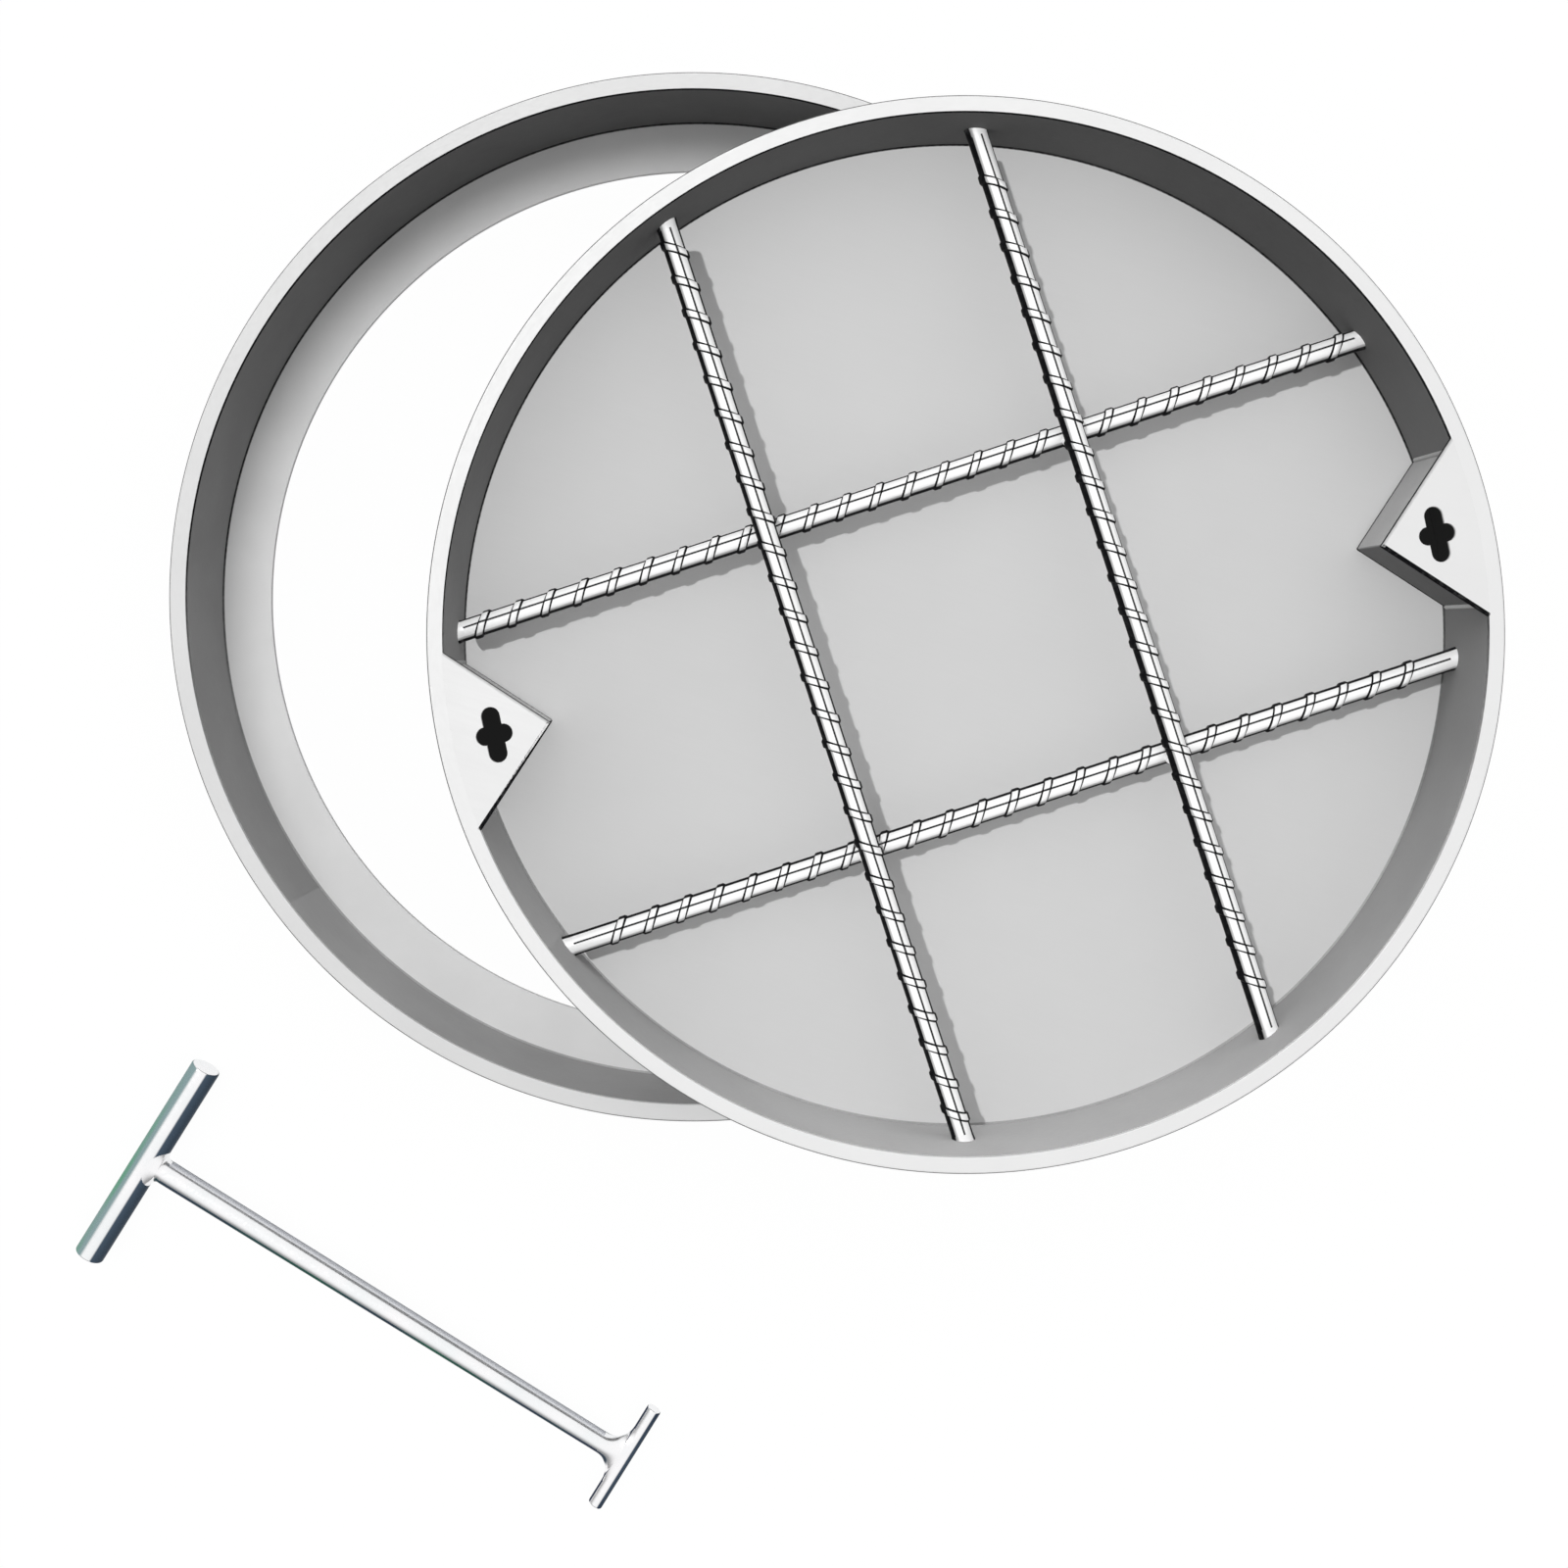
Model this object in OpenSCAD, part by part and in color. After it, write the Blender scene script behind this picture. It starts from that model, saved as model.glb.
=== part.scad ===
// Recessed manhole cover: a seat frame, a round tray cover that takes paving, and its lifting key.
// Millimetres. The origin is on the frame's axis, at the level that the frame stands on. +Z is up.

/* [Frame] */
// Diameter of the clear opening inside the seat ledge
clear_opening_d = 608; // [560:1:800]
// Width of the seat ledge, from the clear opening to the frame's wall
ledge_w = 34.5; // [28:0.5:45]
// Thickness of the seat ledge
ledge_t = 4; // [3:0.5:8]
// Height of the frame from its foot to its top edge
frame_h = 80; // [60:1:120]
// Thickness of the frame's rolled wall
frame_wall_t = 3; // [2:0.5:5]
// Width of the frame's top edge, seen from above
frame_edge_w = 11.5; // [8:0.5:16]
// Depth of the turned-down skirt on the frame's top edge
frame_skirt_h = 15; // [8:1:25]
// Thickness of the sheet that both top edges are folded from
edge_t = 3; // [2:0.5:4]
// Radius of the fold at the outer corner of both top edges
edge_r = 1.5; // [0.5:0.25:2]

/* [Cover] */
// Gap all round between the seated cover and the frame
seat_gap = 2.5; // [1:0.5:5]
// Thickness of the cover's base plate
base_t = 4; // [3:0.5:8]
// Thickness of the cover's rolled wall
cover_wall_t = 3; // [2:0.5:5]
// Width of the cover's top edge, seen from above
cover_edge_w = 10.5; // [8:0.5:16]
// Depth of the turned-down skirt on the cover's top edge
cover_skirt_h = 12; // [8:1:25]
// How far the lifted-out cover lies from the frame's axis, along X
lay_x = 173.2; // [0:0.1:250]
// How far the lifted-out cover lies from the frame's axis, along Y
lay_y = -25.3; // [-100:0.1:100]
// Running gap between the frame's top and the cover that lies on it
lay_gap = 0.3; // [0.2:0.1:2]

/* [Key pockets] */
// Direction of the right pocket from the cover's centre, in degrees
pocket_angle = 12; // [0:1:20]
// Depth of a pocket, from the inner side of the top edge to its point
pocket_depth = 61.5; // [59:0.5:80]
// Angle between the two walls of a pocket
pocket_corner = 90; // [80:1:100]
// Thickness of the folded pocket wall
pocket_wall_t = 3; // [2:0.5:4]
// How far the key plate reaches out over the pocket wall
plate_lip = 6; // [0:0.5:7]
// Thickness of the key plate on top of a pocket
key_plate_t = 3; // [2:0.5:6]
// Distance from the inner side of the top edge to the middle of the keyhole
keyhole_inset = 25.5; // [22:0.5:28]
// Length of the keyhole's long slot
keyhole_len = 35; // [30:0.5:38]
// Width of both slots of the keyhole
keyhole_w = 11.5; // [11:0.25:13]
// Length of the keyhole's short cross slot
keyhole_cross = 23; // [18:0.5:26]

/* [Reinforcing bars] */
// Core diameter of a ribbed bar
bar_d = 14; // [10:0.5:16]
// Height of a rib above the core
rib_h = 1.2; // [0.6:0.1:1.5]
// Width of a rib along the bar
rib_w = 4.7; // [2:0.1:6]
// Spacing of the ribs along the bar
rib_pitch = 22.5; // [15:0.5:30]
// Slant of the ribs across the bar, in degrees
rib_slant = 35; // [20:1:45]
// Direction of the lower bars, in degrees
grid_angle = 18; // [10:1:24]
// Where the left upper bar's ends meet the tray's wall, in degrees off the middle
upper_left_turn = 17.5; // [12:0.5:25]
// Where the right upper bar's ends meet the tray's wall, in degrees off the middle
upper_right_turn = 19.9; // [12:0.1:25]
// Distance along the wall from the rear lower bar's end to the left pocket
rear_bar_gap = 13; // [12.5:0.5:40]
// Distance along the wall from the front lower bar's end to the right pocket
front_bar_gap = 27; // [12.5:0.5:40]
// Free height under the lower bars
bar_lift = 10; // [5:0.5:20]

/* [Welds] */
// Leg of the fillet welds at the foot of the walls
foot_weld = 3; // [2:0.25:4]
// Radius of the upright beads on rolled seams and pocket corners
seam_weld = 2; // [1.5:0.25:3]
// How far a bar's end weld stands out from the bar
bar_weld = 2; // [1.5:0.25:3]
// Direction of the frame's rolled seam, in degrees
frame_seam_angle = 205; // [0:5:355]
// Direction of the cover's rolled seam, in degrees
cover_seam_angle = 100; // [40:5:160]

/* [Lifting key] */
// Distance between the middles of the key's handle and tip bar
key_len = 397; // [200:1:500]
// Length of the handle
handle_len = 156; // [100:1:180]
// Diameter of the handle
handle_d = 21; // [18:0.5:28]
// Diameter of the shank where it leaves the handle
shank_top_d = 17; // [14:0.5:18]
// Diameter of the shank where it meets the tip bar
shank_tip_d = 14.5; // [12:0.5:16]
// Length of the tip bar
tip_len = 80; // [30:1:90]
// Diameter of the tip bar
tip_d = 10.5; // [8:0.25:11]
// Flare of the ground weld where the shank meets the handle or the tip bar
key_flare = 6; // [3:0.5:8]
// Chamfer on the ends of the handle and the tip bar
key_chamfer = 1; // [0.5:0.25:1.5]
// Where the middle of the handle lies along X
key_x = -389.5; // [-600:0.5:-380]
// Where the middle of the handle lies along Y
key_y = -397; // [-600:0.5:-380]
// Direction that the shank points in, in degrees
key_angle = -32; // [-45:1:-20]

/* [Hidden] */
$fn = 96;
// Facets of the large rings, of the bars and of small round welds
ring_fn = 360;
bar_fn = 48;
bead_fn = 32;

// Small gap where curved faces of one assembly meet
touch = 0.1;
// Overshoot of cutting shapes
cut = 1;

seat_r = clear_opening_d / 2 + ledge_w;
frame_r = seat_r + frame_edge_w;
frame_wall_r = seat_r + frame_wall_t;
cover_r = seat_r - seat_gap;
tray_r = cover_r - cover_edge_w;
cover_wall_r = tray_r + cover_wall_t;
cover_h = frame_h - ledge_t;
cover_z = frame_h + lay_gap;

pocket_half = pocket_corner / 2;
pocket_r = tray_r - pocket_depth;
keyhole_r = tray_r - keyhole_inset;
// Half of the angle that a pocket takes up on the tray's wall
pocket_span = pocket_half - asin(pocket_r * sin(pocket_half) / tray_r);
// The same for the pocket's folded sheet, which stands back under the key plate
sheet_span = pocket_half - asin((pocket_r * sin(pocket_half) + plate_lip) / tray_r);

lower_z = base_t + bar_lift + bar_d / 2;
upper_z = lower_z + bar_d + touch;
upper_left = -tray_r * sin(upper_left_turn);
upper_right = tray_r * sin(upper_right_turn);
lower_front = -tray_r * sin(beside_pocket(front_bar_gap));
lower_rear = tray_r * sin(beside_pocket(rear_bar_gap));
bar_end_r = tray_r - 2 * touch;
rib_clear = bar_d / 2 + rib_w;
rib_end_clear = bar_d;
tack_r = bar_d * 0.22;
tack_off = bar_d * 0.32;

handle_z = handle_d / 2;
tip_z = shank_tip_d / 2;
key_tilt = asin((handle_z - tip_z) / key_len);

steel = "silver";
edge_steel = "gainsboro";
weld_steel = "darkgray";
bar_steel = "whitesmoke";
zinc = "lightsteelblue";

// Where a lower bar that ends this far beside a pocket meets the wall, in degrees off the middle
function beside_pocket(gap) = grid_angle - pocket_angle + pocket_span + 2 * asin(gap / 2 / tray_r);

// Half of the chord that a line at this offset cuts from a circle
function half_chord(r, off) = sqrt(r * r - off * off);

// A round tube that stands on the plane z
module tube(r_in, r_out, z, h) {
    translate([0, 0, z]) difference() {
        cylinder(r = r_out, h = h, $fn = ring_fn);
        translate([0, 0, -cut]) cylinder(r = r_in, h = h + 2 * cut, $fn = ring_fn);
    }
}

// A flat rim with a skirt turned down at its outer side
module folded_edge(r_in, r_out, top, skirt) {
    rotate_extrude($fn = ring_fn) union() {
        translate([r_in, top - edge_t]) square([r_out - edge_r - r_in, edge_t]);
        translate([r_out - edge_t, top - skirt]) square([edge_t, skirt - edge_r]);
        translate([r_out - edge_r, top - edge_r]) circle(r = edge_r, $fn = bead_fn);
    }
}

// A ring-shaped fillet weld in the corner between a floor at z and a wall at r
module foot_fillet(r, z) {
    rotate_extrude($fn = ring_fn) translate([r - touch, z])
        polygon([[0, 0], [-foot_weld, 0], [0, foot_weld]]);
}

// An upright weld bead on the outside of a wall of radius r
module seam_bead(r, angle, z, h) {
    difference() {
        rotate([0, 0, angle]) translate([r, 0, z]) cylinder(r = seam_weld, h = h, $fn = bead_fn);
        translate([0, 0, z - cut]) cylinder(r = r, h = h + 2 * cut, $fn = 2 * ring_fn);
    }
}

// Puts what belongs to the cover where the lifted-out cover lies
module on_cover() {
    translate([lay_x, lay_y, cover_z]) children();
}

// Outline of a pocket, drawn in by a wall thickness, with its point towards the centre
module pocket_outline(inset, r) {
    point = pocket_r + inset / sin(pocket_half);
    reach = tray_r - point;
    intersection() {
        polygon([
            [point, 0],
            [point + reach, reach * tan(pocket_half)],
            [point + reach, -reach * tan(pocket_half)]
        ]);
        circle(r = r, $fn = ring_fn);
    }
}

// A slot with round ends, along Y
module slot(len, w) {
    square([w, len - w], center = true);
    for (side = [-1, 1]) translate([0, side * (len - w) / 2]) circle(d = w, $fn = bead_fn);
}

// The cross-shaped keyhole: a long slot across the radius and a short one along it
module keyhole() {
    translate([keyhole_r, 0]) {
        slot(keyhole_len, keyhole_w);
        rotate(90) slot(keyhole_cross, keyhole_w);
    }
}

// The folded sheet that walls off a pocket from the tray
module pocket_wall(angle) {
    on_cover() rotate([0, 0, angle]) translate([0, 0, base_t])
        linear_extrude(cover_h - base_t - key_plate_t) difference() {
            pocket_outline(plate_lip, tray_r - touch);
            pocket_outline(plate_lip + pocket_wall_t, tray_r + cut);
        }
}

// The plate with the keyhole, flush with the cover's top edge
module key_plate(angle) {
    on_cover() rotate([0, 0, angle]) translate([0, 0, cover_h - key_plate_t])
        linear_extrude(key_plate_t) difference() {
            pocket_outline(0, tray_r - touch);
            keyhole();
        }
}

// The two upright beads where a pocket's sheet meets the cover's wall
module pocket_welds(angle) {
    on_cover() rotate([0, 0, angle]) translate([0, 0, base_t + foot_weld])
        linear_extrude(cover_h - base_t - key_plate_t - foot_weld) difference() {
            intersection() {
                for (side = [-1, 1])
                    rotate(side * sheet_span) translate([tray_r, 0]) circle(r = seam_weld, $fn = bead_fn);
                circle(r = tray_r - touch, $fn = ring_fn);
            }
            pocket_outline(plate_lip, tray_r + cut);
        }
}

// Half the length of a square-cut bar that just fits between the tray's walls
function bar_half(off) = half_chord(bar_end_r, abs(off) + bar_d / 2);

// A ribbed bar along X, with no rib near the bars it crosses
module ribbed_bar(off, crossings) {
    half = bar_half(off);
    span = half - rib_end_clear;
    count = floor(span / rib_pitch);
    translate([0, off, 0]) union() {
        rotate([0, 90, 0]) cylinder(d = bar_d, h = 2 * half, center = true, $fn = bar_fn);
        intersection() {
            rotate([0, 90, 0]) cylinder(d = bar_d + 2 * rib_h, h = 2 * span, center = true, $fn = bar_fn);
            union() for (i = [-count : count])
                if (min([for (c = crossings) abs(i * rib_pitch - c)]) > rib_clear)
                    translate([i * rib_pitch, 0, 0]) rotate([0, 0, rib_slant])
                        cube([rib_w, 3 * bar_d, 2 * bar_d], center = true);
        }
    }
}

// A lower bar runs along the grid, an upper bar across it
module lower_bar(off) {
    on_cover() rotate([0, 0, grid_angle]) translate([0, 0, lower_z])
        ribbed_bar(off, [upper_left, upper_right]);
}

module upper_bar(off) {
    on_cover() rotate([0, 0, grid_angle + 90]) translate([0, 0, upper_z])
        ribbed_bar(-off, [lower_front, lower_rear]);
}

// A flared weld round one end of a bar, which also fills the wedge behind the square-cut end
module end_weld(off, z, side) {
    reach = half_chord(tray_r, off);
    intersection() {
        translate([side * reach, off, z]) rotate([0, side * -90, 0]) difference() {
            translate([0, 0, -2 * bar_weld])
                cylinder(d1 = bar_d + 4 * bar_weld, d2 = bar_d, h = 5 * bar_weld, $fn = bar_fn);
            translate([0, 0, reach - bar_half(off)]) cylinder(d = bar_d, h = 2 * bar_d, $fn = bar_fn);
        }
        translate([0, 0, z - bar_d]) cylinder(r = tray_r - touch, h = 2 * bar_d, $fn = ring_fn);
    }
}

// The end welds of both lower bars, on the right side (1) or the left side (-1)
module lower_end_welds(side) {
    color(weld_steel) on_cover() rotate([0, 0, grid_angle])
        for (off = [lower_front, lower_rear]) end_weld(off, lower_z, side);
}

// The end welds of both upper bars, at the rear (1) or the front (-1)
module upper_end_welds(side) {
    color(weld_steel) on_cover() rotate([0, 0, grid_angle + 90])
        for (off = [-upper_left, -upper_right]) end_weld(off, upper_z, side);
}

// Two tack welds in opposite corners of a crossing
module crossing_tacks(x, y) {
    for (side = [-1, 1]) difference() {
        translate([x + side * tack_off, y + side * tack_off, (lower_z + upper_z) / 2])
            sphere(r = tack_r, $fn = bead_fn);
        translate([x, y, lower_z]) rotate([0, 90, 0])
            cylinder(d = bar_d, h = 2 * bar_d, center = true, $fn = bar_fn);
        translate([x, y, upper_z]) rotate([90, 0, 0])
            cylinder(d = bar_d, h = 2 * bar_d, center = true, $fn = bar_fn);
    }
}

// Puts a shape, drawn with the shank along X from the handle, where the key lies
module on_key() {
    translate([key_x, key_y, handle_z]) rotate([0, key_tilt, key_angle]) children();
}

// A round bar across the key, with chamfered ends
module cross_bar(x, d, len) {
    translate([x, 0, 0]) rotate([90, 0, 0]) union() {
        cylinder(d = d, h = len - 2 * key_chamfer, center = true, $fn = 64);
        for (side = [0, 1]) mirror([0, 0, side]) translate([0, 0, len / 2 - key_chamfer])
            cylinder(d1 = d, d2 = d - 2 * key_chamfer, h = key_chamfer, $fn = 64);
    }
}

// The tapered shank, as long as from the middle of the handle to the middle of the tip bar
module shank_taper(extra) {
    rotate([0, 90, 0])
        cylinder(d1 = shank_top_d + extra, d2 = shank_tip_d + extra, h = key_len, $fn = 64);
}

// A ground weld that flares from the shank out to the bar at x, no thicker than the two that it joins
module key_flare_weld(x, bar, shank_d, side) {
    length = bar / 2 + key_flare;
    thick = max(bar, shank_d) - 4 * touch;
    difference() {
        translate([x, 0, 0]) intersection() {
            rotate([0, side * 90, 0])
                cylinder(d1 = shank_d + 4 * key_flare, d2 = shank_d, h = length, $fn = 64);
            cube([2 * length + cut, shank_d + 4 * key_flare, thick], center = true);
        }
        shank_taper(0);
        translate([x, 0, 0]) rotate([90, 0, 0]) cylinder(d = bar, h = 4 * bar, center = true, $fn = 64);
    }
}

module frame_wall() {
    color(steel) tube(seat_r, frame_wall_r, ledge_t, frame_h - ledge_t - edge_t);
}

module frame_top_edge() {
    color(edge_steel) folded_edge(seat_r, frame_r, frame_h, frame_skirt_h);
}

module frame_ledge() {
    color(steel) tube(clear_opening_d / 2, frame_wall_r, 0, ledge_t);
}

module frame_foot_weld() {
    color(weld_steel) foot_fillet(seat_r, ledge_t);
}

module frame_seam_weld() {
    color(weld_steel)
        seam_bead(frame_wall_r, frame_seam_angle, ledge_t, frame_h - ledge_t - frame_skirt_h);
}

module cover_base_plate() {
    color(steel) on_cover() cylinder(r = cover_wall_r, h = base_t);
}

module cover_wall() {
    color(steel) on_cover() tube(tray_r, cover_wall_r, base_t, cover_h - base_t - edge_t);
}

module cover_top_edge() {
    color(edge_steel) on_cover() folded_edge(tray_r, cover_r, cover_h, cover_skirt_h);
}

module cover_foot_weld() {
    color(weld_steel) on_cover() difference() {
        foot_fillet(tray_r, base_t);
        for (angle = [pocket_angle, pocket_angle + 180])
            rotate([0, 0, angle]) translate([0, 0, base_t - cut])
                linear_extrude(foot_weld + 2 * cut) pocket_outline(plate_lip - touch, tray_r + cut);
    }
}

module cover_seam_weld() {
    color(weld_steel) on_cover()
        seam_bead(cover_wall_r, cover_seam_angle, base_t, cover_h - base_t - cover_skirt_h);
}

module left_pocket_wall() {
    color(steel) pocket_wall(pocket_angle + 180);
}

module right_pocket_wall() {
    color(steel) pocket_wall(pocket_angle);
}

module left_key_plate() {
    color(edge_steel) key_plate(pocket_angle + 180);
}

module right_key_plate() {
    color(edge_steel) key_plate(pocket_angle);
}

module left_pocket_welds() {
    color(weld_steel) pocket_welds(pocket_angle + 180);
}

module right_pocket_welds() {
    color(weld_steel) pocket_welds(pocket_angle);
}

module upper_bar_left() {
    color(bar_steel) upper_bar(upper_left);
}

module upper_bar_right() {
    color(bar_steel) upper_bar(upper_right);
}

module lower_bar_front() {
    color(bar_steel) lower_bar(lower_front);
}

module lower_bar_rear() {
    color(bar_steel) lower_bar(lower_rear);
}

module upper_bar_rear_welds() {
    upper_end_welds(1);
}

module upper_bar_front_welds() {
    upper_end_welds(-1);
}

module lower_bar_left_welds() {
    lower_end_welds(-1);
}

module lower_bar_right_welds() {
    lower_end_welds(1);
}

module bar_crossing_welds() {
    color(weld_steel) on_cover() rotate([0, 0, grid_angle])
        for (x = [upper_left, upper_right], y = [lower_front, lower_rear]) crossing_tacks(x, y);
}

module key_handle() {
    color(zinc) on_key() cross_bar(0, handle_d, handle_len);
}

module key_shank() {
    color(zinc) on_key() difference() {
        shank_taper(0);
        for (bar = [[0, handle_d], [key_len, tip_d]])
            translate([bar[0], 0, 0]) rotate([90, 0, 0])
                cylinder(d = bar[1] + 2 * touch, h = 4 * bar[1], center = true, $fn = 64);
    }
}

module key_tip_bar() {
    color(zinc) on_key() cross_bar(key_len, tip_d, tip_len);
}

module key_handle_weld() {
    color(zinc) on_key() key_flare_weld(0, handle_d, shank_top_d, 1);
}

module key_tip_weld() {
    color(zinc) on_key() key_flare_weld(key_len, tip_d, shank_tip_d, -1);
}

frame_wall();
frame_top_edge();
frame_ledge();
frame_foot_weld();
frame_seam_weld();
cover_base_plate();
cover_wall();
cover_top_edge();
cover_foot_weld();
cover_seam_weld();
left_pocket_wall();
right_pocket_wall();
left_key_plate();
right_key_plate();
left_pocket_welds();
right_pocket_welds();
upper_bar_left();
upper_bar_right();
lower_bar_front();
lower_bar_rear();
upper_bar_rear_welds();
upper_bar_front_welds();
lower_bar_left_welds();
lower_bar_right_welds();
bar_crossing_welds();
key_handle();
key_shank();
key_tip_bar();
key_handle_weld();
key_tip_weld();
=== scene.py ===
# %% [markdown]
# # A recessed manhole cover, dressed for the camera
#
# The real object is plain fabricated steel: a seat frame, a tray cover that was lifted out and laid
# on top of it, and a lifting key on the ground. The engineering model gives every piece its size and
# place. This lesson gives each piece its finished surface: smooth rolled rings, folded edges with a
# real bend radius, ribbed bars, weld beads, and steel that looks like steel.
#
# We load the engineering model first, because every later step asks it where things are.

# %% Load the engineering model
import math

import bmesh
import bpy
from mathutils import Matrix, Vector
from mathutils.geometry import tessellate_polygon


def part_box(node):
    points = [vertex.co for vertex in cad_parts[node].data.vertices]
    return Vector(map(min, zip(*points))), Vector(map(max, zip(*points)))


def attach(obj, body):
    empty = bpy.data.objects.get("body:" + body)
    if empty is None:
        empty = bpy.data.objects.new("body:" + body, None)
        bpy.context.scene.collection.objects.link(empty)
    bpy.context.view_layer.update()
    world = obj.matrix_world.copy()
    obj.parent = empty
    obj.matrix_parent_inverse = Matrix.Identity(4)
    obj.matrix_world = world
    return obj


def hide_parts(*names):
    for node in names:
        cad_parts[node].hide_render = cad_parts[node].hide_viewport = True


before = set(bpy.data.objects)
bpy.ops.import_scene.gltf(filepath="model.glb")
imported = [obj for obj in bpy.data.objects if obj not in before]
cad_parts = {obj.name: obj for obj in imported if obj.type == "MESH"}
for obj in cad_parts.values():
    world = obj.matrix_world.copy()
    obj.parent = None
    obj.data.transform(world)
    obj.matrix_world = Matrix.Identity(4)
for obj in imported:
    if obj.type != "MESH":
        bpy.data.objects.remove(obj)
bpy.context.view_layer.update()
MM = 0.001
print("nodes to dress:", len(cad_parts))

# %% [markdown]
# ## Sizes that come from the model
#
# A node's box is all that a round piece needs: half its width is its radius, and its middle is its
# axis. So nothing is typed twice, and the dressing follows when the model changes. Only what a box
# can't tell, such as the bore of a ring, is written here as a named value.


# %% Radii, heights and axes
def radius_of(node):
    low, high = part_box(node)
    return (high[0] - low[0]) / 2


def middle_of(node):
    low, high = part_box(node)
    return Vector([(low[i] + high[i]) / 2 for i in range(3)])


def bottom_of(node):
    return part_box(node)[0][2]


def top_of(node):
    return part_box(node)[1][2]


SHEET = 3 * MM
frame_r = radius_of("frame_top_edge")
frame_wall_r = radius_of("frame_wall")
seat_r = frame_wall_r - SHEET
clear_r = 304 * MM
ledge_top = top_of("frame_ledge")
frame_top = top_of("frame_top_edge")
frame_axis = Vector((0, 0, 0))

cover_axis = middle_of("cover_base_plate")
cover_r = radius_of("cover_top_edge")
cover_wall_r = radius_of("cover_wall")
tray_r = cover_wall_r - SHEET
cover_foot = bottom_of("cover_base_plate")
tray_floor = top_of("cover_base_plate")
cover_top = top_of("cover_top_edge")
tray_axis = Vector((cover_axis[0], cover_axis[1], 0))
print(f"frame radius {frame_r:.4f} m, cover radius {cover_r:.4f} m")

# %% [markdown]
# ## The camera
#
# The picture was taken from straight above, a little over a metre from the cover. Looking straight
# down makes every circle a true circle, so we don't tilt the camera at all. The picture's own middle
# isn't under the lens, so the lens is shifted a little instead of being turned.

# %% Camera straight above
CAMERA_PLACE = (60.1 * MM, -26.8 * MM, 1230 * MM)
CAMERA_LENS = 39.62
CAMERA_SHIFT_Y = -0.09375

camera_data = bpy.data.cameras.new("camera")
camera_data.lens = CAMERA_LENS
camera_data.sensor_width = 36
camera_data.shift_y = CAMERA_SHIFT_Y
camera = bpy.data.objects.new("camera", camera_data)
camera.location = CAMERA_PLACE
bpy.context.collection.objects.link(camera)
bpy.context.scene.camera = camera

# %% [markdown]
# ## Small helpers for shader nodes
#
# Building node trees in code is mostly two moves: add a node, and plug something into its inputs.
# One helper does both. A value that is a socket is linked, and any other value is simply set.


# %% Node helpers
def node(tree, kind, inputs=None, **settings):
    made = tree.nodes.new(kind)
    for name, value in settings.items():
        setattr(made, name, value)
    for name, value in (inputs or {}).items():
        socket = made.inputs[name]
        if isinstance(value, bpy.types.NodeSocket):
            tree.links.new(value, socket)
        else:
            socket.default_value = value
    return made


def math_node(tree, operation, first, second=0.0, third=0.0):
    return node(tree, "ShaderNodeMath", {0: first, 1: second, 2: third}, operation=operation).outputs[0]


def vector_node(tree, operation, first, second):
    return node(tree, "ShaderNodeVectorMath", {0: first, 1: second}, operation=operation)


def between(tree, value, low, high, to_low=0.0, to_high=1.0):
    ends = {"Value": value, "From Min": low, "From Max": high, "To Min": to_low, "To Max": to_high}
    return node(tree, "ShaderNodeMapRange", ends, interpolation_type="SMOOTHSTEP").outputs["Result"]


def blend_colours(tree, factor, first, second):
    return node(tree, "ShaderNodeMix", {0: factor, 6: first, 7: second}, data_type="RGBA").outputs[2]


def object_place(tree):
    return node(tree, "ShaderNodeTexCoord").outputs["Object"]


def place_from(tree, axis):
    return vector_node(tree, "SUBTRACT", object_place(tree), axis).outputs[0]


def turned_by(tree, place, angle):
    inputs = {"Vector": place, "Angle": angle}
    return node(tree, "ShaderNodeVectorRotate", inputs, rotation_type="Z_AXIS").outputs[0]


def length_of(tree, x, y):
    squares = math_node(tree, "MULTIPLY_ADD", y, y, math_node(tree, "MULTIPLY", x, x))
    return math_node(tree, "SQRT", squares)


def noise_at(tree, place, scale, detail):
    inputs = {"Vector": place, "Scale": scale, "Detail": detail}
    return node(tree, "ShaderNodeTexNoise", inputs).outputs["Fac"]


# %% [markdown]
# ## Shared effects as node groups
#
# Each effect is a group with one output, so that every material can use it its own way. The kind of
# an input follows from its default: one number, three for a vector, or four for a colour.


# %% Group helpers
FLOAT, VECTOR, COLOUR = "NodeSocketFloat", "NodeSocketVector", "NodeSocketColor"


def new_group(name, inputs, output, kind=FLOAT):
    tree = bpy.data.node_groups.new(name, "ShaderNodeTree")
    for label, value in inputs.items():
        input_kind = FLOAT if isinstance(value, float) else VECTOR if len(value) == 3 else COLOUR
        tree.interface.new_socket(name=label, in_out="INPUT", socket_type=input_kind).default_value = value
    tree.interface.new_socket(name=output, in_out="OUTPUT", socket_type=kind)
    return tree, tree.nodes.new("NodeGroupInput"), tree.nodes.new("NodeGroupOutput")


def use_group(tree, group, inputs=None):
    return node(tree, "ShaderNodeGroup", inputs, node_tree=group).outputs[0]


# %% [markdown]
# ### Grain that runs round a ring
#
# Rolled rings are polished while they turn, so their fine scratches run round the axis. Plain noise
# would look like concrete. We turn the position into a radius and a distance along the arc, then
# stretch noise along the arc.


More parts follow.
